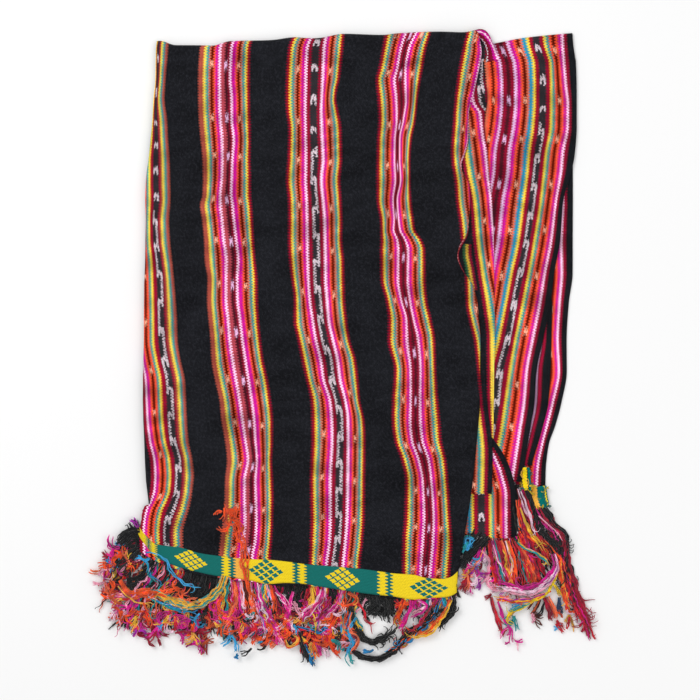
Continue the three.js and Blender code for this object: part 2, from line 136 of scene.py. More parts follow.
# Stripe guides of the front panel: the lines that each group of stripes follows down the cloth.
G1 = table("""
y left yellow1 ikat yellow2 right
30 158 159 160 163 169
50 155.5 156.6 158 161.7 168
80 155 155.9 157.2 160.2 165.5
100 153 154.2 155.9 158.9 164.5
120 152 153.2 155.6 160.7 167
140 150 152.2 156.5 161.7 168
160 148 150.5 156 162.7 169.5
180 145.5 150.5 156 163.2 170
200 144.8 150.7 157 163.8 170.5
220 145.3 150.2 155.4 162.2 169
240 145.3 150.3 156.3 162.7 170
260 145 152.2 159 165.5 172
280 144 153.2 160.7 167.7 174
320 143.5 154 161.7 169.7 177
340 143.5 154.2 162.5 170.7 177.5
360 143 157.2 165.2 174 180.5
380 142.5 161.2 170 178 185
420 143 163.2 172 180.5 187
440 144 165.5 173.5 182 188.5
460 145 170 179 186 192.5
475 145.5 171 179.2 187 194
490 147 170 178 186 192.5
503 149.7 165.5 174.5 183.5 190.5
510 142.8 162.2 171.5 181.7 188.7
520 141 160 168 178 185.5
532 139 159 166.8 175.2 182.7
550 137.5 159.5 167 175.2 183
580 136 159.5 167 175.5 183.5
""")
G2 = table("""
y left white1 white2 right
40 203 222.5 233.5 252.5
50 200 220 231.5 250.5
80 198.5 219.6 230.2 250
100 198.7 219.6 231.9 250
120 199.3 220.4 231.9 250.5
140 201 222 234 250.8
160 203 222.4 232.5 250.5
180 203.5 221.7 231.7 251
195 203 220.2 231.2 251
205 200.5 220.3 232.7 252
220 202.5 221.9 234 253
240 204.5 223.6 236.4 254
260 205.2 226.2 238.4 255.5
280 208 226 237.2 257.7
300 207.5 226 237.6 258
320 209 228 240.2 259
340 211 229.6 242.6 261
360 212 232.5 245.6 263.5
380 215.5 236 248.6 268
400 220 239.5 251.7 271
420 222 242.5 254.2 273
440 225.5 245.5 255.4 273
460 227.5 248.2 257 272
480 225.5 244.5 255.5 273
500 225 244.5 256 273.5
520 223.5 245 256.5 273
540 220.5 243 255.5 272
557 219 241 252.3 270.5
585 218 240 251 269.5
""")
G3 = table("""
y left white1 white2 right
36 292.5 311.5 326 344.4
50 288 306.9 324 343
80 285.8 305.7 322.7 339.5
90 285.5 305.6 322.2 337
100 285.5 305.3 321.7 336
110 286 305.2 321.2 338
130 288.5 305.4 321.7 341.5
160 287.5 305.7 323.1 342
180 286 305.6 321.3 340.3
200 288 306.5 323 341.5
220 288.3 306.9 324.7 342.3
240 288 307.2 325.1 342
260 289 307.5 325.5 344
280 291.5 308.2 325.6 344.5
300 294 309.5 327.1 345
320 293.5 312.6 328.6 347
340 297.5 315.7 333 350
360 301.5 320.6 337.5 356
380 306 323.5 340.1 358.5
400 310.5 329.7 345.3 360
420 311.5 331.7 348 364.5
440 311.5 332.1 348.2 365.5
480 310 330 347.9 365
520 310.5 330.2 346.9 364.5
540 309.8 329.5 345.5 363
567 309 326 343 360
592 308.5 325 342 359
""")
G4 = table("""
y left white1 white2 right
32 385 406 416.5 431
50 382 400.5 408.5 426
70 378 397 405.2 422.5
80 375.5 394.2 405.3 420.5
100 377.5 396.2 406 417.5
120 378.5 396.8 403.2 415.5
140 377 395 399.5 411.5
160 376.5 394.7 399.5 410
180 376.3 395.5 400.6 410
200 376.5 393.2 397 411
220 380 394.2 398.4 413.5
230 380.5 393.5 399.9 415
240 380.5 397.2 405 421.5
250 380 398.1 408 425
280 380.5 397.8 407.6 425.5
300 385.5 401 409.7 427
320 388 406.3 413.5 431.5
340 387.5 406.7 418.2 435
370 394 410.2 420.4 436
400 392 410.5 419.8 438
420 391.5 409.9 420.1 440
440 394 411.7 422.1 441.5
460 401 418.4 428.3 446
480 405 422.4 431 448
520 404 424 433.5 450.5
540 402.5 422.7 432.8 452
577 402 420.4 429.6 450
602 401.5 420 429 449.5
""")
# The last group and the panel's right edge, where it turns under.
G5 = table("""
y left right
28 467 479
36 465.6 479.6
43 463.8 481
51 462 482
60 460 481
75 457.5 478
95 455 473.6
110 453.6 468.6
122 453 468.2
140 451.6 467.4
152 451 464.6
164 451.8 460.8
172 453 462.8
184 454.8 469.3
201 456 470.3
221 459 469
235 460.4 466.6
246 461.4 459.8
256 462.5 457.6
268 464 461.6
285 465 473
303 465.5 477.6
320 468.6 479
341 473.7 480.6
361 476 480.2
381 478 480
400 480.5 480
440 485 477
480 492 473
520 492 467.5
560 492 460.5
600 492 456
""")
# The far fold and the near hem.
FAR = line_through("""
136,44 160,40.3 175,44.5 200,44.7 212,45 230,40.5 270,39.5 296,36.6 305,37.4 315,37.6 345,33.2
382,34.3 400,32.5 440,31 463,31.6 481,28.8 489,33 493,42
""")
HEM = line_through("""
136,549 160,563 200,575 235,580 252,582 270,585 305,586 345,590.5 382,596.5 415,600.5 431,599
447,597 458,593 490,590
""")
# Rows of ticks in the brown stripes: where each lies at the left and right of the front panel.
TICK_ROWS = table("""
y at_left at_right
-1 22 38
0 65 75
1 119 128
2 156 168
3 200 218
4 241 260
5 284 304
6 331 355
7 379 403
8 421 449
9 463 492
10 505 528
11 548 571
12 592 615
""")
TICK_COLUMNS = (225, 430)  # where "left" and "right" are, squares
# Height of the front panel's upper face, and of its rim at the right edge.
FACE = table("""
y left middle right rim
30 13 13.5 14 5.8
120 14 13 13.5 5.8
280 14 13 13.5 7.7
410 15 13.5 14.5 9.5
495 15 12.5 14 9.5
540 12 10.5 12 5
600 8.5 8 9.5 4
""")
# Soft ridges and troughs of the front panel, each from one place to another: width and height, mm.
FOLDS = """
399 95 395 235 9 -2.2
385 60 381 100 12 1.6
330 70 334 125 12 -1.8
422 240 432 330 14 1.8
292 290 306 380 16 1.6
214 190 204 215 12 -1.5
222 380 236 465 18 1.8
392 425 410 475 14 1.8
162 200 168 330 14 1.4
186 420 190 500 16 2.2
172 492 146 506 6 -2.2
156 515 152 540 14 1.8
250 250 262 420 30 -1.2
360 130 366 330 34 1.2
440 340 452 480 26 -1.4
"""
ROLL = {"left": 9, "far": 8, "right": 5}  # how far in from an edge the face rolls down, mm
RIM = 5.8  # height of the other rims, mm

# ------------------------------------------------------------------------------- front panel's form


def fold_lift(x, y):
    lift = 0 * x
    for x0, y0, x1, y1, width, height in (map(float, row) for row in rows_of(FOLDS)):
        dx, dy = x1 - x0, y1 - y0
        length = math.hypot(dx, dy)
        along = ((x - x0) * dx + (y - y0) * dy) / length
        across = ((x - x0) * dy - (y - y0) * dx) / length * MM
        past = np.maximum(0, np.maximum(-along, along - length)) * MM
        lift = lift + height * np.exp(-((across / width) ** 2) - (past / (1.6 * width)) ** 2)
    return lift


def rumple(x, y, size, seed, stretch=2.0):
    """Gentle uneven relief, longer down the cloth than across it, from -1 to 1."""
    flat = np.stack([x / size, y / (size * stretch), 0 * x + seed], axis=-1).reshape(-1, 3)
    values = np.array([noise.noise(Vector(p)) for p in flat])
    return values.reshape(x.shape)


def front_face(x, y):
    left = G1["left"](y)
    right = G5["right"](y)
    share = np.clip((x - left) / (right - left), 0, 1)
    side = np.where(share < 0.5, FACE["left"](y), FACE["right"](y))
    return mix(FACE["middle"](y), side, smooth(np.abs(share - 0.5) * 2)) + fold_lift(x, y)


def front_height(x, y):
    """Height of the front panel's upper face, rolled down at its edges, in millimetres."""
    z = front_face(x, y)
    z = z + 0.7 * rumple(x, y, 24, 3.1) + 0.35 * rumple(x, y, 9, 7.7, 1.6)
    z = z + 0.12 * rumple(x, y, 3.2, 1.3, 1.0)
    left = (x - G1["left"](y)) * MM / ROLL["left"]
    right = (G5["right"](y) - x) * MM / ROLL["right"]
    far = (y - FAR(x)) * MM / ROLL["far"]
    round_side = (1 - np.clip(left, 0, 1)) ** 2 + (1 - np.clip(right, 0, 1)) ** 2
    drop = np.clip(round_side + (1 - np.clip(far, 0, 1)) ** 2, 0, 1)
    rim = np.where(x > 400, FACE["rim"](y), RIM)
    rim = mix(rim, RIM, 1 - np.clip(far, 0, 1))
    return mix(rim, z, np.sqrt(1 - drop))


def along_front(x, y):
    """The cloth's own length coordinate, so that ticks and ikat follow the rows of the weave."""
    low, high = TICK_COLUMNS
    share = np.clip((x - low) / (high - low), -0.4, 1.3)
    rows = np.arange(-1, 13)
    at_left = np.interp(y, TICK_ROWS["at_left"](rows), rows)
    at_right = np.interp(y, TICK_ROWS["at_right"](rows), rows)
    return mix(at_left, at_right, share) * TICK


# ------------------------------------------------------------------------------- meshes


def link(name, data):
    obj = bpy.data.objects.new(name, data)
    bpy.context.scene.collection.objects.link(obj)
    return obj


def dress(obj, node):
    """Hand a piece to the frame: it rides on the one body and takes the place of a node."""
    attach(obj, "root")
    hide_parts(node)


def new_mesh(name, points, faces, uv, material):
    mesh = bpy.data.meshes.new(name)
    mesh.from_pydata([tuple(p) for p in points], [], [tuple(f) for f in faces])
    layer = mesh.uv_layers.new(name="weave")
    index = np.empty(len(mesh.loops), int)
    mesh.loops.foreach_get("vertex_index", index)
    layer.data.foreach_set("uv", np.asarray(uv, float)[index].ravel())
    mesh.polygons.foreach_set("use_smooth", [True] * len(mesh.polygons))
    mesh.update()
    mesh.materials.append(material)
    return link(name, mesh)


def grid_faces(rows, columns, start=0, flip=False):
    r, c = np.meshgrid(np.arange(rows - 1), np.arange(columns - 1), indexing="ij")
    a = (r * columns + c + start).ravel()
    quad = [a, a + columns, a + columns + 1, a + 1]
    if flip:
        quad = quad[::-1]
    return np.stack(quad, axis=-1)


def edge_faces(rows, columns, lower):
    """Quads that close the gap between an upper grid and a lower one that starts at lower."""
    ring = [r * columns for r in range(rows)]
    ring += [(rows - 1) * columns + c for c in range(1, columns)]
    ring += [r * columns + columns - 1 for r in range(rows - 2, -1, -1)]
    ring += [c for c in range(columns - 2, 0, -1)]
    return np.array([(a, a + lower, b + lower, b) for a, b in zip(ring, ring[1:] + ring[:1])])


def walled(name, x, y, top, thickness, u, v, material, node):
    """A sheet with a real thickness: its upper face at top, its stripe coordinates u and v."""
    shape, lower = x.shape, x.size
    faces = np.concatenate(
        [grid_faces(*shape), grid_faces(*shape, lower, True), edge_faces(*shape, lower)]
    )
    points = np.concatenate([to_m(x, y, z).reshape(-1, 3) for z in (top, top - thickness)])
    uv = np.stack([u, v], axis=-1).reshape(-1, 2)
    dress(new_mesh(name, points, faces, np.concatenate([uv, uv]), material), node)


def sheet_grid(guides, counts, far, near, rows, bias=1.0):
    """Plan places and stripe coordinates of a sheet.

    A guide is (x of y, stripe coordinate of y). counts says how many columns lie between guides.
    """
    shares = np.linspace(0, 1, rows)
    y = np.tile((30 + 560 * shares)[:, None], (1, sum(counts) + 1)).astype(float)
    for _ in range(5):
        xs, us = [], []
        start = 0
        for i, count in enumerate(counts):
            part = y[:, start : start + count + (i == len(counts) - 1)]
            t = np.arange(part.shape[1]) / count
            if i == 0:
                t = t**bias
            x0, u0 = guides[i]
            x1, u1 = guides[i + 1]
            xs.append(mix(x0(part), x1(part), t))
            us.append(mix(u0(part), u1(part), t))
            start += count
        x = np.concatenate(xs, axis=1)
        y = mix(far(x), near(x), shares[:, None])
    return x, y, np.concatenate(us, axis=1)


# ------------------------------------------------------------------------------- materials

COLOURS = dict(pair.split("=") for pair in """
black=17181C red=B02418 dark_red=900F2E rust=A44A3C rose=B04250 yellow=EAC544 teal=36848C
blue=2C88AC salmon=D4684C orange=EE5232 brown=621202 magenta=C4148C pink=DC2480 white=FCCCE8
grey=2E2A2E light_pink=E8A0B4 light_blue=6BB4D8 deep_green=046C66 bright_yellow=F4D51C peach=F8B648
purple=8C1C9C cream=CDBEC6 navy=1F3E66 crimson=78102A lime=A2C070 dust=A07E70 umber=4A1420
lilac=E2B2DA yarn_orange=FF5A1C yarn_magenta=E4149C yarn_pink=F22C8E yarn_red=DC1630
yarn_dark_red=AC0C34 yarn_yellow=FFC838 yarn_light_pink=FAACC4 yarn_teal=1AA0A4
yarn_light_blue=3CB0E6 yarn_purple=B41CB4 yarn_rust=D8562A yarn_salmon=FA7A50 yarn_black=121316
yarn_brown=6A2414 yarn_white=FBD8EA yarn_blue=2090D0 moss=2E5A3A ochre=C8A038 tick=F4AC90
""".split())


def colour(name):
    """Linear colour from a name."""
    code = COLOURS[name]
    srgb = [int(code[i : i + 2], 16) / 255 for i in (0, 2, 4)]
    linear = [v / 12.92 if v <= 0.04045 else ((v + 0.055) / 1.055) ** 2.4 for v in srgb]
    return (*linear, 1)


class Value:
    """A node's output. Arithmetic with it makes math nodes; a comparison gives 1 or 0."""

    def __init__(self, nodes, socket):
        self.nodes = nodes
        self.socket = socket

    def __add__(self, other):
        return self.nodes.math("ADD", self, other)

    def __sub__(self, other):
        return self.nodes.math("SUBTRACT", self, other)

    def __rsub__(self, other):
        return self.nodes.math("SUBTRACT", other, self)

    def __mul__(self, other):
        return self.nodes.math("MULTIPLY", self, other)

    def __truediv__(self, other):
        return self.nodes.math("DIVIDE", self, other)

    def __mod__(self, other):
        return self.nodes.math("FLOORED_MODULO", self, other)

    def __lt__(self, other):
        return self.nodes.math("LESS_THAN", self, other)

    def __gt__(self, other):
        return self.nodes.math("GREATER_THAN", self, other)

    def __abs__(self):
        return self.nodes.math("ABSOLUTE", self)

    def sine(self):
        return self.nodes.math("SINE", self)

    def floor(self):
        return self.nodes.math("FLOOR", self)

    def fraction(self):
        return self.nodes.math("FRACT", self)

    def least(self, other):
        return self.nodes.math("MINIMUM", self, other)

    def most(self, other):
        return self.nodes.math("MAXIMUM", self, other)


class Nodes:
    """Short ways to build a material's nodes."""

    def __init__(self, name):
        self.material = bpy.data.materials.new(name)
        self.material.use_nodes = True
        self.tree = self.material.node_tree
        self.shader = self.tree.nodes["Principled BSDF"]

    def new(self, kind, inputs):
        """A node of a kind, with its inputs by place or name."""
        node = self.tree.nodes.new("ShaderNode" + kind)
        for key, value in inputs.items():
            self.put(node.inputs[key], value)
        return node

    def put(self, socket, value):
        if isinstance(value, Value):
            self.tree.links.new(value.socket, socket)
        else:
            socket.default_value = value

    def math(self, operation, *values):
        node = self.new("Math", dict(enumerate(values)))
        node.operation = operation
        return Value(self, node.outputs[0])

    def mix(self, factor, a, b, blend="MIX"):
        node = self.tree.nodes.new("ShaderNodeMix")
        node.data_type = "RGBA"
        node.blend_type = blend
        for key, value in (("Factor", factor), ("A", a), ("B", b)):
            self.put(node.inputs[key], value)
        return Value(self, node.outputs["Result"])

    def shaded(self, shown, shade):
        return self.mix(1.0, shown, self.vector(shade, shade, shade), "MULTIPLY")

    def noise(self, vector, detail=2.0, rough=0.5, scale=1.0):
        inputs = {"Vector": vector, "Scale": scale, "Detail": detail, "Roughness": rough}
        return Value(self, self.new("TexNoise", inputs).outputs["Fac"])

    def pattern(self, name, u, v):
        across, along, detail, rough = PATTERNS[name]
        return self.noise(self.vector(u * across, v * along), detail, rough)

    def vector(self, x, y, z=0.0):
        return Value(self, self.new("CombineXYZ", {0: x, 1: y, 2: z}).outputs[0])

    def parts(self, vector):
        node = self.new("SeparateXYZ", {0: vector})
        return [Value(self, output) for output in node.outputs]

    def ramp(self, factor, stops):
        """Hard-edged stripes: stops are (place from 0 to 1, colour name)."""
        node = self.new("ValToRGB", {0: factor})
        node.color_ramp.interpolation = "CONSTANT"
        elements = node.color_ramp.elements
        while len(elements) > 1:
            elements.remove(elements[-1])
        elements[0].position = 0
        elements[0].color = colour(stops[0][1])
        for place, name in stops[1:]:
            elements.new(min(max(place, 0), 1)).color = colour(name)
        return Value(self, node.outputs[0])

    def weave(self):
        """The cloth's own coordinates, in squares: across the warp and along it."""
        node = self.tree.nodes.new("ShaderNodeUVMap")
        node.uv_map = "weave"
        return self.parts(Value(self, node.outputs[0]))[:2]

    def place(self):
        """Where a point is on the object, in metres."""
        return Value(self, self.tree.nodes.new("ShaderNodeTexCoord").outputs["Object"])

    def surface(self, shown, roughness, specular=None, sheen=None, sheen_roughness=None):
        for key, value in (
            ("Base Color", shown),
            ("Roughness", roughness),
            ("Specular IOR Level", specular),
            ("Sheen Weight", sheen),
            ("Sheen Roughness", sheen_roughness),
        ):
            if value is not None:
                self.put(self.shader.inputs[key], value)
        return self.material

    def bump(self, height, strength):
        node = self.new("Bump", {"Distance": 0.0005, "Strength": strength, "Height": height})
        self.put(self.shader.inputs["Normal"], Value(self, node.outputs[0]))


# Uneven patterns of the cloth: how fine across and along the warp, detail, roughness.
PATTERNS = {
    "grain": (0.5, 0.12, 2.0, 0.5),
    "speck": (0.85, 0.7, 3.0, 0.75),
    "splash": (0.6, 0.42, 1.0, 0.5),
    "worn": (0.035, 0.022, 2.0, 0.5),
    "fluff": (0.36, 0.3, 2.0, 0.7),
    "band": (0.5, 1.2, 2.0, 0.5),
}


def stripes(text):
    """Stripes from left to right: (width in squares, colour)."""
    words = text.split()
    return tuple(zip(map(float, words[::2]), words[1::2]))


# Stripe groups, from left to right.
GROUP_A = stripes("""
1.9 crimson  1.3 red  1.8 yellow  0.8 lime  1.8 teal  1.3 dust  1 salmon  2.7 brown  1.8 orange
3 magenta  2.3 white  3.5 dark_red  7.4 ikat  3.3 dark_red  2.4 white  2.9 magenta  2 orange
3 brown  1.4 salmon  1.2 dust  2 teal  0.9 lime  1.4 yellow  1.4 red  1.8 crimson
""")
GROUP_B = stripes("""
4.4 rust  1.8 yellow  1 lime  2.2 teal  1.3 salmon  3.1 brown  1.9 orange  2.8 magenta  2.1 white
3.8 rose  3 umber  2.1 dark_red  1.8 white  4 magenta  1.6 orange  3.1 brown  1.3 salmon  0.9 dust
2 teal  0.8 lime  1.4 yellow  1.5 red  1.8 crimson
""")
GROUP_C = stripes("""
1.8 crimson  1.4 red  1.6 yellow  0.8 lime  2 teal  1.3 salmon  2.8 brown  1.8 orange  2.8 magenta
1.8 white  3.4 dark_red  2.6 umber  2.6 dark_red  1.8 white  3 magenta  1.8 orange  2.8 brown
1.3 salmon  2.1 teal  0.8 lime  1.4 yellow  1.4 red  1.7 crimson
""")
GROUP_LEFT = stripes("""
3.8 dark_red  2 white  3.4 magenta  2.4 orange  3.2 brown  2.6 orange  2.2 teal  1 lime  2 yellow
1.2 red  3.2 dark_red  7.8 ikat  1.6 dark_red  2 rust  2 yellow  0.9 lime  2.1 teal  2.8 rust
""")
# The selvedge group, from the selvedge inwards.
GROUP_SELVEDGE = stripes("""
6.4 black  2.9 dark_red  2.3 white  2.9 magenta  2.3 orange  3.3 brown  2.3 orange  2.1 teal
0.9 lime  2 yellow  1.1 red  3.2 dark_red  7.2 ikat  3 dark_red  0.9 red  2.4 yellow  0.8 lime
3.2 blue  1.9 salmon  3.3 brown  2.6 orange  3.2 magenta  2.8 lilac  3.6 dark_red  3.8 umber
3.8 dark_red  2.5 lilac  3 magenta  2.8 orange  3 brown  2.8 orange  3 salmon
""")
# The ply between: it hardly shows, a dashed white line beside its dark selvedge.
GROUP_BETWEEN = stripes("7.4 black  3 dark_red  1.3 black  1 lilac  1.6 black  3 dark_red")
GROUP_HALF = stripes("""
3.3 dark_red  2.9 yellow  1 lime  2.8 teal  2 salmon  3.4 brown  2.8 orange  2.8 magenta
2.2 white  3.8 dark_red  7 ikat  3 dark_red
""")
GROUP_TURNED = stripes("2.6 black  2.6 moss  2.6 ochre  2.8 crimson  3 black")


def layout(group):
    """Start of each stripe, and the group's width at the end."""
    return np.concatenate([[0], np.cumsum([width for width, _ in group])])


# Where the resist-dyed line changes sides: the first place and the pitch, in ticks.
IKAT_START, IKAT_PITCH = 3.02, 0.621


def add_ticks(n, under, off, v, speck, width, stripe):
    """Light ticks across a brown stripe. They lean a little, and their ends are ragged."""
    length, light = (0.045, "tick") if stripe == "brown" else (0.07, "lilac")
    turn = off * 0.012 + (v / TICK + 0.5).fraction()
    tick = (speck - 0.5) * 0.55 + abs(turn - 0.5) < length
    inside = (speck - 0.5) * 6.0 + abs(off) < width * 0.45
    return n.mix(inside * tick, under, colour(light))


def add_ikat(n, under, off, uv, yarn, width, line):
    """A resist-dyed line that crosses a stripe from side to side, with a splash at each crossing.

    line says how it starts: (phase in ticks, where the unbroken line begins, in ticks).
    """
    u, v = uv
    wave, grain, speck = yarn
    phase, begins = line
    along = (v - (IKAT_START + phase) * TICK) / (IKAT_PITCH * TICK)
    uneven = (grain - 0.5) * 0.25 + along
    whole = uneven.floor()
    part = uneven - whole
    side = whole % 2.0 * 2.0 - 1.0
    rough = n.pattern("splash", u, v) - 0.5
    away = abs(off)
    # The line itself, as long as it runs unbroken.
    gap = rough * 3.6 + abs(off + wave * 0.7 - side * (0.27 * width))
    drawn = (gap < 0.95) * (v > begins * TICK)
    # A bar across the stripe where the line changes sides, and two legs after it.
    close = rough * 0.3 + (0.5 - abs(part - 0.5))
    splash = (close < 0.07) * (away < 0.36 * width)
    legs = abs(rough * 4.5 + away - 0.3 * width)
    legs = (legs < 0.9) * (part < 0.2)
    white = drawn.most(splash).most(legs) * (away < width * 0.47) * (speck > 0.42)
    return n.mix(white, under, colour("cream"))


def striped(name, groups, lines=(), teeth=0.7):
    """Warp-faced cloth: groups are (start in squares, group). Outside them the black ground shows.

    lines has one entry for each ikat stripe. teeth is how far a stripe's edge goes in and out.
    """
    n = Nodes(name)
    u, v = n.weave()
    grain, speck = n.pattern("grain", u, v), n.pattern("speck", u, v)
    # Serrated stripe edges: every other pick shows a thread of the neighbour. The weft runs
    # straight across the plan.
    picks = n.parts(n.place())[1] / SQUARE * (TURN / TEETH)
    wave = ((grain * 3.0 + picks).sine() * 1.8).most(-1.0).least(1.0)
    shifted = u + (wave * teeth + (speck - 0.5) * 1.2)
    shown = colour("black")
    ground = None
    lines = iter(lines)
    for start, group in groups:
        starts = layout(group)
        place = (shifted - start) / starts[-1]
        names = ["grey" if name == "ikat" else name for _, name in group]
        dyed = n.ramp(place, list(zip(starts / starts[-1], names)))
        for at, (width, stripe) in zip(starts, group):
            off = u - (start + at + width / 2)
            if stripe in ("brown", "umber"):
                dyed = add_ticks(n, dyed, off, v, speck, width, stripe)
            if stripe == "ikat":
                dyed = add_ikat(n, dyed, off, (u, v), (wave, grain, speck), width, next(lines))
        inside = (place > 0.0) * (place < 1.0)
        shown = n.mix(inside, shown, dyed)
        outside = 1.0 - inside
        ground = outside if ground is None else ground * outside
    # Warp threads and picks: a fine relief for the bump, which is also painted into the colour as
    # shade in the grooves.
    pick = ((u / THREAD).floor() * math.pi + picks).sine()
    relief_and_groove_shade = pick * 0.25 + abs((u * (math.pi / THREAD)).sine()) * 0.5
    # Slubs run along the warp, and the whole cloth is unevenly worn.
    worn = n.pattern("worn", u, v)
    # Soft creases run askew over the cloth. They shape the bump, and they are also painted into the
    # colour: lighter along each crease line, darker beside it.
    crease_and_painted_light = abs(n.noise(n.vector(v * 0.016 + u * 0.02, v * 0.035), 1.0) - 0.5)
    # Painted shade in the grooves of the weave, times uneven tone from specks and slubs.
    shade = (relief_and_groove_shade * 0.5 + 0.84) * (speck * 1.1 + 0.42) * (grain * 0.5 + 0.75)
    # Painted light and shade along the creases, times the uneven worn tone.
    shade = shade * (worn + 0.52) * (crease_and_painted_light * -2.2 + 1.2)
    # Lint lifts the dark ground a little.
    fluff = n.pattern("fluff", u, v)
    lint = (speck * 0.4 + fluff * 0.6 - 0.48).most(0.0) * (ground * 0.05 + 0.02)
    shown = n.mix(1.0, n.shaded(shown, shade), n.vector(lint, lint, lint * 1.25), "ADD")
    n.bump(crease_and_painted_light * -9.0 + (speck * 0.8 + relief_and_groove_shade), 0.7)
    return n.surface(shown, 0.9, 0.06, 0.012, 0.5)


STARTS = {"left": -46.2, "g2": 36, "g3": 123, "g4": 214.5, "g5": 298.5}
front_cloth = striped(
    "front_cloth",
    (
        (STARTS["left"], GROUP_LEFT),
        (STARTS["g2"], GROUP_B),
        (STARTS["g3"], GROUP_A),
        (STARTS["g4"], GROUP_C),
        (STARTS["g5"], GROUP_A),
    ),
    ((0.0, 3.4), (0.0, 1.62), (0.3, 2.0)),
)
side_cloth = striped("side_cloth", ((0, GROUP_SELVEDGE),), ((0.0, 1.55),))
corner_cloth = striped("corner_cloth", ((0, GROUP_SELVEDGE),), ((-0.003, 99.0),))
between_cloth = striped("between_cloth", ((0, GROUP_BETWEEN),))
half_cloth = striped("half_cloth", ((0, GROUP_HALF),), ((0.2, 1.35),))
turned_cloth = striped("turned_cloth", ((0, GROUP_TURNED),))

# ------------------------------------------------------------------------------- front panel

YELLOW_1, IKAT, YELLOW_2 = -23.8, -14.8, -6.8  # stripe coordinates of the left group's guides
FRONT_COLUMNS = (9, 4, 4, 4, 16, 10, 6, 9, 16, 10, 9, 9, 17, 9, 5, 8, 24)
FRONT_ROWS = 270
RIM_UNDER = ((0.9, -0.5), (2.4, -0.9), (4.2, -1.0))  # how far in and down the turned rims go, mm


def group_guides(lines, start, group):
    """Guides of a group with two white stripes, which the cloth follows at their middles."""
    starts = start + layout(group)
    white = [(starts[i] + starts[i + 1]) / 2 for i, (_, c) in enumerate(group) if c == "white"]
    return [
        (lines["left"], fixed(start)),
        (lines["white1"], fixed(white[0])),
        (lines["white2"], fixed(white[1])),
        (lines["right"], fixed(starts[-1])),
    ]


def left_u(y):
    return YELLOW_1 - (G1["yellow1"](y) - G1["left"](y)) * 1.15


def last_u(x, y):
    """Stripe coordinate right of the fourth group."""
    g4_right = G4["right"](y)
    g4_end = STARTS["g4"] + layout(GROUP_C)[-1]
    start = STARTS["g5"]
    slope = (start - g4_end) / (G5["left"](y) - g4_right)
    inner = g4_end + (x - g4_right) * slope
    # Near the far fold the panel's edge falls in the group's light stripe.
    wide = G5["right"](y) - G5["left"](y)
    scale = np.minimum(1.08, 18.9 / np.maximum(wide, 1))
    return np.where(x < G5["left"](y), inner, start + (x - G5["left"](y)) * scale)


def build_front():
    guides = [
        (G1["left"], left_u),
        (G1["yellow1"], fixed(YELLOW_1)),
        (G1["ikat"], fixed(IKAT)),
        (G1["yellow2"], fixed(YELLOW_2)),
        (G1["right"], fixed(0.0)),
        *group_guides(G2, STARTS["g2"], GROUP_B),
        *group_guides(G3, STARTS["g3"], GROUP_A),
        *group_guides(G4, STARTS["g4"], GROUP_C),
        (G5["right"], fixed(0.0)),
    ]
    x, y, u = sheet_grid(guides, FRONT_COLUMNS, FAR, HEM, FRONT_ROWS, bias=1.6)
    last = x.shape[1] - FRONT_COLUMNS[-1] - 1
    # Columns of the last part crowd towards the right edge, where the cloth turns under.
    t = 1 - (1 - np.linspace(0, 1, FRONT_COLUMNS[-1] + 1)) ** 1.35
    for _ in range(4):
        part = y[:, last:]
        x[:, last:] = mix(G4["right"](part), G5["right"](part), t)
        y = mix(FAR(x), HEM(x), np.linspace(0, 1, FRONT_ROWS)[:, None])
    u[:, last:] = last_u(x[:, last:], y[:, last:])
    v = along_front(x, y)
    z = front_height(x, y)
    # Turn the rims under, at the sides and then at the far fold.
    sheet = [[part] for part in (x, y, z, u, v)]
    for inward, lower in RIM_UNDER:
        inward /= MM
        left = (0.6 * inward, 0, lower, -inward - 1, 0)
        right = (-0.6 * inward, 0, lower, inward + 1, 0)
        for part, first, shift_left, shift_right in zip(sheet, (x, y, z, u, v), left, right):
            part.insert(0, first[:, :1] + shift_left)
            part.append(first[:, -1:] + shift_right)
    sheet = [np.concatenate(part, axis=1) for part in sheet]
    for inward, lower in RIM_UNDER:
        shifts = (0, 0.6 * inward / MM, 0.3 * lower, 0, -1)
        sheet = [np.concatenate([part[:1] + shift, part]) for part, shift in zip(sheet, shifts)]
    x, y, z, u, v = sheet
    uv = np.stack([u, v], axis=-1).reshape(-1, 2)
    points = to_m(x, y, z).reshape(-1, 3)
    obj = new_mesh("front_cloth", points, grid_faces(*x.shape), uv, front_cloth)
    dress(obj, "front_panel")


build_front()

# ------------------------------------------------------------------------------- side layers

SIDE_FAR = line_through("460,49 480,45 500,41.4 522,37.2 544,34.6 577,31.6")
SIDE = table("""
y white2 yellow2 ikat yellow1 white1 right
30 506.5 527.8 536 544.3 563 573
42 508 529 537.2 545.2 563.4 573.8
54 511.8 532.4 540.6 548.6 564 575.4
62 514.6 534.6 542.8 550.9 564.6 576.6
85 516.3 535.4 543.4 551.8 566.6 577.3
103 516.2 535.2 543.4 551.8 568.8 577.4
125 514.2 533.8 542.5 551.4 568.6 577.4
153 509.5 529.8 538.5 546.5 563.4 575.5
170 508.5 528.4 536.5 544.8 562 572.4
201 503.2 524.3 532.7 541.3 556.9 563.8
242 498.5 518.8 527 534.7 551.7 560.4
272 493 512.3 520.9 529.4 545.7 554.8
303 488.5 506.5 514.5 523.3 540.6 551.2
341 480 498.8 508 515.4 533 543.2
371 473.5 491.5 500 510.5 527.4 537
402 469 487 496.8 505.9 524.9 534.8
432 465 482 491.5 501.5 520.3 530
453 461 478 487 497 517.2 526.8
486 455 472 482 492 512 521.5
""")
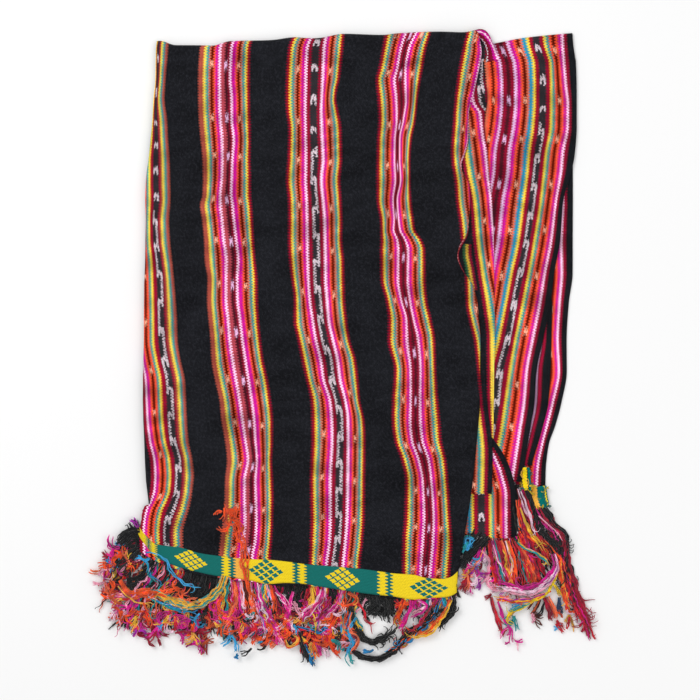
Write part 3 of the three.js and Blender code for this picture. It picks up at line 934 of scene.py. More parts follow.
# Rows of ticks of the side panel: where each lies on the plan.
SIDE_ROWS = (6, 50, 100, 138.5, 184, 230, 276, 331, 385, 427, 470, 514)
SIDE_TICKS = curve(SIDE_ROWS, np.arange(-1, len(SIDE_ROWS) - 1) * TICK)
UNDER = table("""
y white right
40 558 571
150 561 573.6
201 564 573.7
242 562.2 573.5
272 562.8 573.5
303 560.5 569.6
341 558.6 567.4
371 560 567.6
402 554 562.4
426 548 556
445 543.2 549.5
470 538.5 546.5
492 537.5 546
""")
MIDDLE = table("""
y red right
300 547 553
341 545.6 552
371 541.2 551
402 540 549
432 534 542
462 527 533
""")
INNER = table("""
y yellow right right_u
38 451 487.5 35.5
54 451 487.6 35.5
62 453 483 32.5
78 452.5 484.6 35
91 452.5 487.5 35.8
100 454.2 487.7 35.5
106 457.6 487 32.5
112 461.5 485.2 27
122 463.5 484.8 25.6
136 465 485.8 25
150 466.4 488 24.6
170 469.3 489 23.8
201 475.3 492.5 24
242 478.9 494 22
272 483 494.4 18.5
303 488 494.8 11.5
341 492.2 495 7
371 492.3 494.4 6.2
402 492.6 494 5.4
431 493 493.5 4.4
""")
LOWEST = 1.6  # height of the lowest ply's upper face, mm


TUCK = 16  # how far the side layers reach under the front panel, squares


def tuck(y):
    """Where a side layer ends, out of sight under the front panel."""
    return G5["right"](y) - TUCK


def side_lift(y):
    return PLY + PLY * smooth((y - 150) / 150)


flap_lift = curve((433, 486, 499, 510, 545), (5.7, 5.7, 2.2, 0, 0))
flap_rise = curve((335, 400, 433, 480, 500), (8.0, 8.8, 9.2, 9.2, 7.2))


def hidden_part(left, line, line_u, sign=1):
    """Guides from a layer's hidden edge to its first line.

    sign is 1 where the stripe coordinate falls towards the right, -1 where it rises.
    """
    return [(left, lambda y: line_u + sign * (line(y) - left(y))), (line, fixed(line_u))]


def layer(name, guides, counts, far, near, rows, top, material, node, thickness=CLOTH, along=None):
    x, y, u = sheet_grid(guides, counts, far, near, rows)
    v = (y if along is None else along(y)) + 0 * x
    walled(name, x, y, top(x, y), thickness, u, v, material, node)


def build_side():
    starts = layout(GROUP_SELVEDGE)
    names = [c for _, c in GROUP_SELVEDGE]

    def middle(colour_name, which=0):
        found = [i for i, c in enumerate(names) if c == colour_name][which]
        return (starts[found] + starts[found + 1]) / 2

    def top(x, y):
        z = side_lift(y) + LOWEST + 0.35 * rumple(x, y, 16, 2.2) + 0.2 * rumple(x, y, 6, 5.1)
        far = np.clip((y - SIDE_FAR(x)) * MM / 6, 0, 1)
        return mix(1.9, z, np.sqrt(1 - (1 - far) ** 2))

    guides = [
        *hidden_part(
            lambda y: np.minimum(tuck(y), SIDE["white2"](y) - 2), SIDE["white2"], middle("lilac")
        ),
        (SIDE["yellow2"], fixed(middle("yellow", 1))),
        (SIDE["ikat"], fixed(middle("ikat"))),
        (SIDE["yellow1"], fixed(middle("yellow"))),
        (SIDE["white1"], fixed(middle("white"))),
        (SIDE["right"], fixed(0.0)),
    ]
    layer(
        "side_cloth", guides, (14, 12, 5, 5, 10, 6), SIDE_FAR, fixed(482.0), 190, top,
        side_cloth, "side_panel", along=SIDE_TICKS,
    )
    guides = hidden_part(
        lambda y: np.minimum(tuck(y), UNDER["white"](y) - 1), UNDER["white"], middle("white")
    )
    layer(
        "under_cloth", guides + [(UNDER["right"], fixed(0.0))], (30, 6),
        lambda x: SIDE_FAR(x) + 6, fixed(491.0), 120, lambda x, y: LOWEST + 0 * x,
        side_cloth, "under_layer",
    )
    guides = hidden_part(lambda y: MIDDLE["right"](y) - 18, MIDDLE["red"], 8.5)
    layer(
        "middle_cloth", guides + [(MIDDLE["right"], fixed(0.0))], (8, 5),
        fixed(300.0), fixed(466.0), 60, lambda x, y: PLY + LOWEST + 0 * x,
        between_cloth, "middle_layer",
    )


def build_inner():
    yellow_u = 5.0

    def left(y):
        return np.minimum(tuck(y), INNER["yellow"](y) - 6)

    guides = [
        (left, lambda y: yellow_u - (INNER["yellow"](y) - left(y))),
        (
            lambda y: np.minimum(INNER["yellow"](y), INNER["right"](y) - 0.5),
            lambda y: np.minimum(yellow_u, INNER["right_u"](y) - 0.5),
        ),
        (INNER["right"], INNER["right_u"]),
    ]
    layer(
        "inner_cloth", guides, (12, 14), fixed(38.0), fixed(440.0), 170,
        lambda x, y: side_lift(y) + PLY + LOWEST + 0.25 * rumple(x, y, 8, 9.2),
        half_cloth, "inner_fold",
    )
    lower_right = curve((433, 453, 463, 474, 497, 540), (489, 503, 508, 512, 517, 517.5))
    layer(
        "lower_flap_cloth", hidden_part(tuck, lower_right, 0.0), (26,), fixed(433.0),
        lambda x: mix(535.5, 542, np.clip((x - 466) / 52, 0, 1)), 60,
        lambda x, y: flap_lift(y) + LOWEST + 0.2 * rumple(x, y, 8, 4.4),
        corner_cloth, "lower_flap",
    )
    upper_right = curve((330, 371, 402, 418, 453, 494), (483, 485, 487.3, 489.2, 492.8, 492))
    layer(
        "upper_flap_cloth", hidden_part(tuck, upper_right, -5.0), (18,), fixed(335.0),
        fixed(494.0), 80, lambda x, y: flap_rise(y) + 0.2 * rumple(x, y, 8, 6.4),
        half_cloth, "upper_flap",
    )
    turned_left = curve((236, 252, 262, 286), (464, 456.5, 458, 469))
    turned_right = curve((236, 252, 270, 292), (474, 473.5, 476.5, 480))
    layer(
        "turned_strip", hidden_part(turned_left, turned_right, 13.0, -1), (14,), fixed(244.0),
        fixed(290.0), 40, lambda x, y: 7.6 + 0.2 * rumple(x, y, 6, 2.9),
        turned_cloth, "inner_fold", thickness=0.8,
    )


build_side()
build_inner()

# ------------------------------------------------------------------------------- turned edges

GROUP_LOOP = stripes("1.6 dark_red  2.6 magenta  1.7 white  2.2 magenta  3.8 crimson  1.2 cream")
GROUP_RIM = stripes("1 dark_red  1.1 white  1.2 crimson")
GROUP_LIP = stripes("1.1 crimson  0.8 rust  0.8 light_pink  0.8 crimson")
GROUP_FAR_1 = stripes("2.8 deep_green  1 black  4.6 bright_yellow")
GROUP_FAR_2 = stripes("1 deep_green  1.4 bright_yellow  7.6 deep_green  5 peach")
# Rows of place, width in squares, height and bulge in mm, and how many squares of the group are
# turned out of sight.
EDGES = {
    "loop_edge": """
473.5 32.6 3 8 1.5 0
478.5 32.8 8 8.5 3.2 0
482.8 34.4 10 8.5 4 0
486.4 38.6 9 8 4 1.5
488.9 43.8 8 7 3.2 3.6
491.2 50 9 5.2 2 4.2
492.4 56 12.5 4.4 1 4.2
493.2 60 14.5 4.2 0.5 4.2
""",
    "rim_edge": """
470.6 104 1 6 0.6 0
468.4 112 2 6 0.8 0
467.9 126 2.4 6.2 0.8 0
467 142 3 6.6 0.9 0
463.8 154 3.4 7 0.9 0
460.6 163 3 7.4 0.8 0
461.4 169 1.6 7.6 0.5 0
""",
    "lip_edge": """
468.6 226 1.4 8.2 0.5 0
465.8 236 3 8.4 0.9 0
460.2 245.5 3.4 8.6 1 0
457.4 253 3.2 8.8 1 0
458.6 262 2.8 8.8 1 0
463 272 2.4 8.8 0.9 0
468.4 281 2 8.8 0.8 0
472.5 290 1.2 8.8 0.5 0
""",
    "far_band_1": """
526.4 467.5 6.5 6.2 1 0
526.6 473 8.6 6.6 1.6 0
526.8 481 8.8 6.6 1.8 0
527.6 487 9 6.4 1.8 0
528.4 491.5 7 5.6 1.2 0
""",
    "far_band_2": """
539.2 486.8 13.5 5 1 0
539.8 491 15 5.2 1.6 0
540.4 498 15.4 5.2 1.8 0
542.2 504 14.6 5 1.8 0
543.8 508.6 12 4.6 1 0
""",
}


def ribbon(name, group, node):
    """A narrow turned edge along a line."""
    rows = np.array(rows_of(EDGES[name]), float)
    line, _ = resample(rows[:, :2], 40)
    knots = np.concatenate([[0], np.cumsum(np.linalg.norm(np.diff(rows[:, :2], axis=0), axis=1))])
    at = np.linspace(0, knots[-1], 40)
    wide, high, bulge, away = (curve(knots, rows[:, i])(at)[:, None] for i in (2, 3, 4, 5))
    side = across(line)
    share = np.linspace(0, 1, 12)[None, :]
    x = line[:, :1] - side[:, :1] * (0.5 - share) * wide
    y = line[:, 1:] - side[:, 1:] * (0.5 - share) * wide
    top = high + bulge * np.sqrt(np.maximum(0, 1 - (2 * share - 1) ** 2)) + 0 * x
    u = mix(away, layout(group)[-1], share) + 0 * x
    v = at[:, None] + 0 * x
    material = striped(name, ((0, group),), teeth=0.4)
    walled(name, x, y, top, EDGE_THICKNESS, u, v, material, node)


def build_turned_edges():
    ribbon("loop_edge", GROUP_LOOP, "front_panel")
    ribbon("rim_edge", GROUP_RIM, "front_panel")
    ribbon("lip_edge", GROUP_LIP, "front_panel")
    # The gathered bits of the far band.
    ribbon("far_band_1", GROUP_FAR_1, "band_rear_1")
    ribbon("far_band_2", GROUP_FAR_2, "band_rear_2")


# ------------------------------------------------------------------------------- hidden layers


def build_hidden():
    """The layers inside, as the part has them, kept below the front panel's creases."""
    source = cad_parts["folded_layers"]
    mesh = source.data.copy()
    obj = link("hidden_layers", mesh)
    obj.matrix_world = source.matrix_world
    co = np.empty(len(mesh.vertices) * 3)
    mesh.vertices.foreach_get("co", co)
    co = co.reshape(-1, 3)
    x = co[:, 0] / SQUARE + CENTRE[0]
    y = CENTRE[1] - co[:, 1] / SQUARE
    limit = np.maximum(front_height(x, y) - 3.4, 5.0) / 1000
    limit = np.where(y < 60, np.minimum(limit, 0.0055), limit)
    co[:, 2] = np.where(co[:, 2] > 0.005, np.minimum(co[:, 2], limit), co[:, 2])
    co[:, 1] = np.minimum(co[:, 1], (CENTRE[1] - FAR(x) - 1.6) * SQUARE)
    mesh.vertices.foreach_set("co", co.ravel())
    mesh.materials.clear()
    mesh.materials.append(Nodes("hidden_cloth").surface(colour("black"), 0.95))
    dress(obj, "folded_layers")


build_hidden()

# ------------------------------------------------------------------------------- border band

BAND_TOP = line_through("""
136.5,524 147,536 155.5,543.5 183,548 200,553 221,556 249,559 268,559.7 287,561.5 305,564 328,566
359,568.6 382,571.6 394,573.3 414,574.7 426.5,577.8 443,578.8 451,576.7 459,570
""")
BAND_FOOT = line_through("""
136.5,533 147,546.5 155,556 176,566 200,572.5 218,576 230,577 242,579.5 252,581 269,584 285,583
304,584 321,587 335,589 361,593 378,595 390,596 414,599.6 431,598 447,597 459,592
""")
BAND_ENDS = (137.2, 457.6)
BAND_ROWS = 18  # rows of wrapped weft over the band's depth
# Where each colour of the band starts.
BAND_PARTS = """
0 bright_yellow
147 deep_green
150 bright_yellow
155 deep_green
222 bright_yellow
229 deep_green
233.5 peach
243 bright_yellow
293.5 deep_green
298.5 bright_yellow
305 deep_green
378 bright_yellow
386 deep_green
391 bright_yellow
"""
# Stepped diamonds: middle, half width, colour.
DIAMONDS = ((191, 17.5, "bright_yellow"), (266, 18.5, "deep_green"),
            (342.5, 18.5, "bright_yellow"), (429, 20.5, "deep_green"))


def band_material():
    n = Nodes("border_band")
    u, v = n.weave()
    grain = n.pattern("band", u, v)
    tooth = (v * (TURN / 2.6)).sine() * 1.7
    low, high = 130.0, 465.0
    place = (u + tooth + (grain - 0.5) * 1.2 - low) / (high - low)
    parts = [(max(float(x), low), name) for x, name in rows_of(BAND_PARTS)]
    shown = n.ramp(place, [((x - low) / (high - low), name) for x, name in parts])
    for middle, half_width, name in DIAMONDS:
        du = (tooth * 0.35 + u - middle) / (half_width / 2)
        dv = (v - BAND_ROWS / 2) / 5.2
        a, b = (
            (abs(part) < 2.0) * (abs((part + 10.0).fraction() - 0.5) < 0.385)
            for part in (du + dv, du - dv)
        )
        shown = n.mix(a * b, shown, colour(name))
    rows = abs((v * (math.pi / 1.1)).sine())
    wraps = abs(((u + v) * (math.pi / 2.4)).sine())
    relief_and_groove_shade = rows * 0.7 + wraps * 0.3
    n.bump(relief_and_groove_shade, 0.8)
    # The rows and wraps are also painted into the colour as shade in their grooves.
    shade = (relief_and_groove_shade * 0.3 + 0.78) * (grain * 0.4 + 0.8)
    return n.surface(n.shaded(shown, shade), 0.8, 0.25)


def build_band():
    columns, rows = 170, 12
    x = np.tile(np.linspace(*BAND_ENDS, columns)[None, :], (rows, 1))
    share = np.linspace(0, 1, rows)[:, None]
    y = mix(BAND_TOP(x), BAND_FOOT(x), share)
    edge = np.minimum(share, 1 - share) * 2
    z = front_height(x, y) + 1.0 + 0.25 * rumple(x, y, 7, 8.8)
    z = z - 0.5 * (1 - np.clip(edge * 4, 0, 1)) ** 2
    v = share * BAND_ROWS + 0 * x
    walled("border_band", x, y, z, EDGE_THICKNESS, x, v, band_material(), "band_front")


build_band()

# ------------------------------------------------------------------------------- yarns

rng = np.random.default_rng(7)
YARN_STEP = 2.0  # squares between a yarn's places
YARN_PLACES = (12, 44)  # the least and most places of a yarn
CRINKLES = ((20, 34, 0.3), (9, 15, 0.42), (5.2, 7.5, 0.34))  # wavelengths from and to, and turn
CURL_START = 0.72  # share of a yarn's length where its end starts to curl
TAPER_START = 0.88
IN_LOCK = 4  # yarns in a lock
LOCK_PLACES = 14
YARN_COLOURS = """
black red dark_red rust yellow teal blue salmon orange brown magenta pink white light_pink
light_blue purple navy deep_green bright_yellow peach
""".split()
PALETTES = {name: colours for name, *colours in rows_of("""
black black
group red yellow teal salmon brown orange orange magenta magenta pink white dark_red \
red light_pink purple light_blue
left orange red orange magenta peach red orange dark_red light_pink black \
salmon orange black rust teal magenta yellow
pinks magenta magenta pink light_pink white dark_red
oranges orange orange salmon rust red
blues light_blue light_blue blue teal
dark_blues navy blue blue black
rainbow yellow teal salmon yellow peach teal
cool light_blue white teal light_pink
reds red dark_red red magenta
purples purple purple magenta
fire yellow peach orange orange red
sweep light_blue orange black yellow salmon blue dark_red
tangle orange magenta peach red light_pink dark_red orange magenta salmon yellow \
orange black light_blue pink red orange white teal
whites white light_pink pink magenta
rear red magenta orange dark_red orange red light_pink yellow teal dark_red
rear_dark black dark_red dark_red magenta black red
pale light_pink peach white purple salmon
lagoon teal light_blue white yellow
band_yellow bright_yellow peach yellow
band_green deep_green teal deep_green
browns brown rust brown black
""")}


def yarn_material(name):
    n = Nodes("yarn_" + name)
    speck = n.noise(n.place(), scale=1500)
    light_and_shade_patch = n.noise(n.place(), 1.0, scale=90)
    dyed = colour("yarn_" + name if "yarn_" + name in COLOURS else name)
    # Painted light and shade: soft patches lighten and darken the yarns across the fringe, with
    # fine uneven tone from the specks.
    shade = (speck * 1.3 + 0.22) * (light_and_shade_patch * 1.7 + 0.12)
    return n.surface(n.shaded(dyed, shade), 0.85, 0.25, 0.15)


YARN_MATERIALS = [yarn_material(name) for name in YARN_COLOURS]


def resample(points, count):
    """Even places along a smooth line through the points, and the line's length."""
    p = np.asarray(points, float)
    ends = np.concatenate([[2 * p[0] - p[1]], p, [2 * p[-1] - p[-2]]])
    t = np.linspace(0, 1, 12, endpoint=False)[:, None]
    parts = []
    for a, b, c, d in zip(ends, ends[1:], ends[2:], ends[3:]):
        square, cube = 2 * a - 5 * b + 4 * c - d, 3 * b - a - 3 * c + d
        parts.append(0.5 * (2 * b + (c - a) * t + square * t**2 + cube * t**3))
    fine = np.concatenate(parts + [p[-1:]])
    gone = np.concatenate([[0], np.cumsum(np.linalg.norm(np.diff(fine, axis=0), axis=1))])
    at = np.linspace(0, gone[-1], count)
    return np.stack([np.interp(at, gone, fine[:, i]) for i in range(2)], axis=-1), gone[-1]


def across(line):
    """Unit vectors across a line, at each of its places."""
    ahead = np.gradient(line, axis=0)
    ahead /= np.linalg.norm(ahead, axis=1)[:, None]
    return np.stack([-ahead[:, 1], ahead[:, 0]], axis=-1)


def waves(s, low, high):
    """A wave along s, with a wavelength from low to high squares."""
    return np.sin(s / rng.uniform(low, high) * 6.28 + rng.uniform(0, 6.28))


def walk(heading, step):
    """Places of a walk with these headings, from the origin."""
    go = np.stack([np.cos(heading), np.sin(heading)], axis=-1) * step
    return np.concatenate([[[0, 0]], np.cumsum(go[:-1], axis=0)])


def yarn_places(length):
    """How many places a yarn of this length gets."""
    return int(np.clip(round(length / YARN_STEP / 4) * 4, *YARN_PLACES))


class Skein:
    """All the yarns of one piece, gathered before they become one mesh."""

    def __init__(self):
        self.paths = []
        self.radii = []
        self.colours = []

    def add(self, path, length, height, palette, radius, root_height, frizz=1.0, curl=0.0):
        """One crinkled yarn along a smooth path, settling from its root to its resting height."""
        count = len(path)
        step = length / (count - 1)
        s = np.arange(count) * step
        ahead = np.gradient(path, axis=0)
        heading = np.unwrap(np.arctan2(ahead[:, 1], ahead[:, 0]))
        ease = smooth((s - 3) / 22) if length > 30 else smooth(s / 5)
        turn = 0 * s
        for low, high, much in CRINKLES:
            wavelength = rng.uniform(low, high)
            much *= rng.uniform(0.5, 1.3)
            turn += much * np.sin(s / wavelength * TURN + rng.uniform(0, 6.28))
        turn = turn * ease * frizz
        turn += curl * smooth((s / length - CURL_START) / (1 - CURL_START)) ** 2
        strayed = walk(heading + turn, step) - walk(heading, step)
        way = path + strayed * np.where(curl, 1.0, 0.85)
        z = mix(root_height, height, smooth(s / 16))
        z = z + ease * 0.5 * waves(s, 6, 12)
        z = z + ease * 0.3 * waves(s, 3.5, 5)
        z = np.maximum(z, radius * MM + 0.1)
        taper = 1 - 0.5 * smooth((s / length - TAPER_START) / (1 - TAPER_START))
        names = PALETTES.get(palette, [palette])
        self.paths.append(to_m(way[:, 0], way[:, 1], z))
        lumps = 1 + 0.12 * np.sin(s * 2.1 + rng.uniform(0, 6))
        self.radii.append(radius * SQUARE * taper * lumps)
        self.colours.append(YARN_COLOURS.index(names[rng.integers(len(names))]))

    def bundle(self, points, palette, count, wide, height, root_height, frizz, radius, wave=1.0):
        """Yarns that run together along a line of points, wave together and spread at their ends.

        wide is how wide they lie at root and tip, in squares. They come in strands of one colour.
        """
        places = yarn_places(resample(points, 2)[1])
        base, length = resample(points, places)
        side = across(base)
        share = np.linspace(0, 1, places)
        s = share * length
        names = PALETTES.get(palette, [palette])
        strands = max(1, round(count / 4))
        first = rng.integers(len(names))
        for strand in range(strands):
            lane = (strand + 0.5) / strands - 0.5 + rng.normal(0, 0.12)
            sway = rng.uniform(0.5, 1.5) * waves(s, 16, 30)
            sway = sway + rng.uniform(0.3, 0.8) * waves(s, 8, 13)
            sway = sway * wave * smooth(s / 18)
            name = names[(first + strand) % len(names)]
            strand_height = height + rng.normal(0, 1.1)
            for _ in range(round(count / strands)):
                lay = lane * mix(*wide, share) + sway + rng.normal(0, 0.75) * smooth(0.25 + share)
                path = base + lay[:, None] * side
                reach = rng.uniform(0.8, 1.0) if rng.random() < 0.8 else rng.uniform(0.5, 0.85)
                path = np.stack(
                    [np.interp(share * reach, share, path[:, i]) for i in range(2)], axis=-1
                )
                z = strand_height + rng.normal(0, 0.5)
                self.add(
                    path, length * reach, z, name if rng.random() < 0.85 else palette,
                    radius * rng.uniform(0.75, 1.1), z if root_height is None else root_height,
                    0.55 * frizz * rng.uniform(0.6, 1.3), rng.choice([0, 0, rng.uniform(-4, 4)]),
                )

    def tuft(self, middle, palette, count, size, height, radius=0.7, out=None):
        """Short locks, each of a few yarns that curl together; out is the way they point."""
        names = PALETTES.get(palette, [palette])
        in_lock = min(count, IN_LOCK)
        for _ in range(round(count / in_lock)):
            place = np.array(middle) + rng.normal(0, size * 0.38, 2)
            angle = rng.uniform(0, TURN) if out is None else out + rng.normal(0, 0.7)
            bend = rng.choice([-1, 1]) * rng.uniform(0.3, 2.8)
            reach = size * rng.uniform(1.2, 2.6)
            places = [place]
            for _ in range(5):
                places.append(places[-1] + reach / 5 * np.array([np.cos(angle), np.sin(angle)]))
                angle += bend / 5
            base, length = resample(places, LOCK_PLACES)
            side = across(base)
            name = names[rng.integers(len(names))]
            lock_height = height + rng.normal(0, 1.0)
            for _ in range(in_lock):
                lay = rng.normal(0, size * 0.14) * np.linspace(0.6, 1.6, LOCK_PLACES)[:, None]
                z = lock_height + rng.normal(0, 0.5)
                thickness = radius * rng.uniform(0.75, 1.15)
                self.add(base + lay * side, length, z, name, thickness, z, 0.75)

    def tubes(self, count, first_vertex):
        """Three-sided tubes round all the yarns that have this many places."""
        chosen = [i for i, path in enumerate(self.paths) if len(path) == count]
        paths = np.array([self.paths[i] for i in chosen])
        radii = np.array([self.radii[i] for i in chosen])
        k, n, _ = paths.shape
        ahead = np.gradient(paths, axis=1)
        ahead /= np.linalg.norm(ahead, axis=2, keepdims=True) + 1e-12
        side = np.stack([ahead[..., 1], -ahead[..., 0], 0 * ahead[..., 0]], axis=-1)
        side /= np.linalg.norm(side, axis=2, keepdims=True) + 1e-12
        over = np.cross(side, ahead)
        rings = []
        for angle in (90, 210, 330):
            c, s = math.cos(math.radians(angle)), math.sin(math.radians(angle))
            rings.append(paths + radii[..., None] * (c * side + s * over))
        points = np.stack(rings, axis=2).reshape(-1, 3)
        points[:, 2] = np.maximum(points[:, 2], 0.0001)
        start = (first_vertex + np.arange(k) * n * 3)[:, None, None]
        ring = start + (np.arange(n - 1) * 3)[None, :, None]
        at = np.arange(3)[None, None, :]
        after = (at + 1) % 3
        corners = [ring + at, ring + after, ring + 3 + after, ring + 3 + at]
        quads = np.stack(corners, axis=-1).reshape(-1, 4)
        first = start[:, 0, 0]
        last = first + (n - 1) * 3
        near_caps = np.stack([first + 2, first + 1, first], -1)
        caps = np.concatenate([near_caps, np.stack([last, last + 1, last + 2], -1)])
        colours = np.array([self.colours[i] for i in chosen])
        return points, quads, caps, np.repeat(colours, (n - 1) * 3), np.tile(colours, 2)

    def build(self, name, node, slot="fringe"):
        parts = []
        start = 0
        for count in sorted(set(len(path) for path in self.paths)):
            parts.append(self.tubes(count, start))
            start += len(parts[-1][0])
        points, quads, caps, index, cap_index = (np.concatenate(part) for part in zip(*parts))
        used = sorted(set(self.colours))
        index = np.searchsorted(used, np.concatenate([index, cap_index]))
        corners = np.concatenate([quads.ravel(), caps.ravel()])
        sizes = np.concatenate([np.full(len(quads), 4), np.full(len(caps), 3)])
        starts = np.concatenate([[0], np.cumsum(sizes)[:-1]])
        mesh = bpy.data.meshes.new(name)
        mesh.vertices.add(len(points))
        mesh.vertices.foreach_set("co", points.ravel())
        mesh.loops.add(len(corners))
        mesh.loops.foreach_set("vertex_index", corners.astype(np.int32))
        mesh.polygons.add(len(sizes))
        mesh.polygons.foreach_set("loop_start", starts.astype(np.int32))
        for i in used:
            mesh.materials.append(YARN_MATERIALS[i])
        mesh.polygons.foreach_set("material_index", index.astype(np.int32))
        mesh.polygons.foreach_set("use_smooth", np.ones(len(sizes), bool))
        mesh.update(calc_edges=True)
        mesh.validate()
        dress(link(name, mesh), node)


# Where the fringe falls from the hem: root, a place on the way and the tip, and how full it is.
FALL = table("""
root root_y way_x way_y tip_x tip_y fullness
138 536 121 549 98 572 1.1
142 546 119 568 95 592 1.2
150 552 126 586 104 620 1.3
160 560 141 600 127 646 1.3
172 566 155 605 150 643 1.2
186 571 172 608 175 640 1.1
200 574 190 610 196 648 1.1
215 576 210 610 214 640 1
230 577 232 615 240 658 0.9
245 580 250 617 258 652 0.9
262 583 268 620 283 648 1
280 584 285 616 298 645 1
297 584 303 622 314 664 1
312 586 315 626 328 655 1
330 588 332 625 345 664 1
348 591 350 620 362 650 0.6
366 593 370 612 376 630 0.4
385 596 388 612 396 632 0.5
405 599 404 610 409 622 0.6
425 598 424 606 428 614 0.6
445 597 444 604 447 611 0.8
457 592 456 600 456 607 0.8
""")
FALL_PITCH = 1.45  # squares along the hem
# The dark yarns below stand in for the shade between the coloured strands, as painted shade.
FULL = 0.7  # where the fringe is fuller than this it has dark yarns below
PIECES = ((138, 192), (192, 250), (250, 320), (320, 390), (390, 458))
HEM_GROUPS = ((138, 183, "left"), (183, 219, "black"), (219, 270, GROUP_B), (270, 308, "black"),
              (308, 359, GROUP_A), (359, 401, "black"), (401, 450, GROUP_C), (450, 459, "black"))
# The thick mat of curls: how far it goes along the hem, its pitch, and how far out to the tips.
MAT_END, MAT_PITCH, MAT_REACH = 345, 3.6, 0.6

# The yarn colours of stripes that have no yarn of their own.
YARN_OF = {
    "crimson": "dark_red", "lime": "yellow", "dust": "salmon", "ikat": "black", "umber": "brown",
    "rose": "red", "lilac": "light_pink",
}


def hem_palette(x):
    """The colour of the warp that leaves the hem at x."""
    for low, high, group in HEM_GROUPS:
        if not low <= x < high:
            continue
        if isinstance(group, str):
            return group
        if rng.random() < 0.3:
            return "group"
        starts = layout(group)
        at = (x - low) / (high - low) * starts[-1]
        name = group[min(np.searchsorted(starts, at, side="right") - 1, len(group) - 1)][1]
        return YARN_OF.get(name, name)
    return "black"


# Bundles of the near fringe: piece, colours, yarns, width at root and tip, height, places.
BUNDLES = """
1 black 30 8 14 6 143,536 134,535 126,539 117,549
1 black 20 5 9 7 142,532 134,530 126,534 119,546
1 rear_dark 22 9 16 4 146,546 136,545 124,547 112,556
1 black 22 6 10 7 150,546 138,552 125,560 112,572
1 black 26 7 10 7 160,556 150,570 138,580 124,586
1 black 26 7 10 7 175,564 168,575 158,583 144,592
1 black 24 7 10 7 190,570 186,580 178,589 162,594
1 black 16 6 9 6 142,542 135,530 129,521
1 purples 8 3 5 7 138,528 134,522 130,519
1 reds 8 3 4 6 144,525 143,517 142,509
2 black 22 7 9 7 205,573 204,583 199,592 186,601
2 black 18 7 8 6 215,575 214,588 208,598 196,606
1 light_blue 3 1 1.5 10 146,551 150,555 146,562 138,560 133,563
1 light_blue 2 1 1 10 134,553 142,558 148,566 147,574
1 light_blue 2 0.6 1 10 146,552 157,553 165,560 172,570 176,577 188,584 198,587 209,591
1 blues 3 1 1.5 10 147,563 150,575 158,583 166,585
1 oranges 24 4 6 8.5 120,580 130,592 150,590 163,592 175,586 180,590 183,597 197,598
1 oranges 12 3 4 8 120,588 132,597 148,595 170,592
1 fire 10 2 4 9 146,601 158,597 172,599 186,604 200,606
1 peach 4 1 2 9.5 118,586 131,600 148,603 160,608
2 rainbow 32 8 6 9 225,576 220,589 209,599 195,606 178,603 162,597 148,592
1 cool 6 1.5 3 9.5 148,597 163,604 180,609 196,611
1 dark_blues 6 1.5 3 9 155,600 172,607 190,612 203,607
2 oranges 14 4 8 6 233,582 235,600 229,615 222,632
2 whites 14 4 6 6 240,582 242.5,607 252,630
2 oranges 12 4 6 6 248,583 253,607 255,622
3 pinks 14 4 7 6 257,583 262,607 273,623
3 light_pink 9 3 5 7 252,597 262,623 270,628
3 cool 12 3 6 6 267,583 272,600 273,613
3 fire 10 3 5 6 270,585 274,602 274,615
3 reds 12 3 6 6 272,585 280,603 287,620
3 whites 12 2 3 7 275,592 282,598 287,610
3 pinks 12 2.5 4 7 293,592 289,608 288,620 292,633
3 light_pink 5 2 3 7 248,637 262,628 273,633 287,643 300,632
3 fire 8 2 3 7 285,640 288,647 295,646 298,638 293,633
3 rainbow 8 3 5 7 311,588 312,598 306,608
4 whites 18 4 7 7 322,590 318,602 307,611 300,623
4 pinks 22 5 8 7 342,590 335,607 320,618 307,625
4 reds 20 9 14 6 328,596 318,610 305,622
4 fire 12 3 4 7 348,593 357,599 352,605 340,605 332,598
4 dark_blues 10 2.5 4 7 297,627 315,632 333,630
4 oranges 16 4 6 6 341,610 331,625 328,638 333,650 342,660
3 black 16 4 6 6 300,632 305,650 308,664
3 dark_blues 9 3 4 6 305,645 312,660 316,667
4 pinks 6 2 3 6 316,643 319,650 321,657
4 sweep 20 6 9 7 350,612 346,628 354,640 348,656
4 blues 8 3 5 8 356,618 349,632 352,645 346,658
5 black 26 4 6 6 350,606 353,618 358,632 373,643 390,634 399,626
5 black 24 4 6 6 348,640 354,652 365,658 383,658 397,648 407,634 420,627 440,609 452,606
5 black 16 5 7 6 452,594 454,606 448,618 437,630
5 black 16 6 9 6 372,596 376,606 368,617
5 black 14 5 8 6 384,598 386,608 384,618
5 fire 18 6 9 6 404,598 400,608 396,620 398,630
5 pinks 12 4 6 6 412,600 410,610 404,622 398,632
5 whites 12 3 4 7 418,600 426,606 420,613 410,618
5 sweep 22 4 6 7 441,600 433,618 418,633 397,649 385,655
5 fire 14 3 5 8 451,600 441,619 428,633 412,635 402,628
5 reds 10 3 5 7 436,600 428,612 420,624 408,634
"""
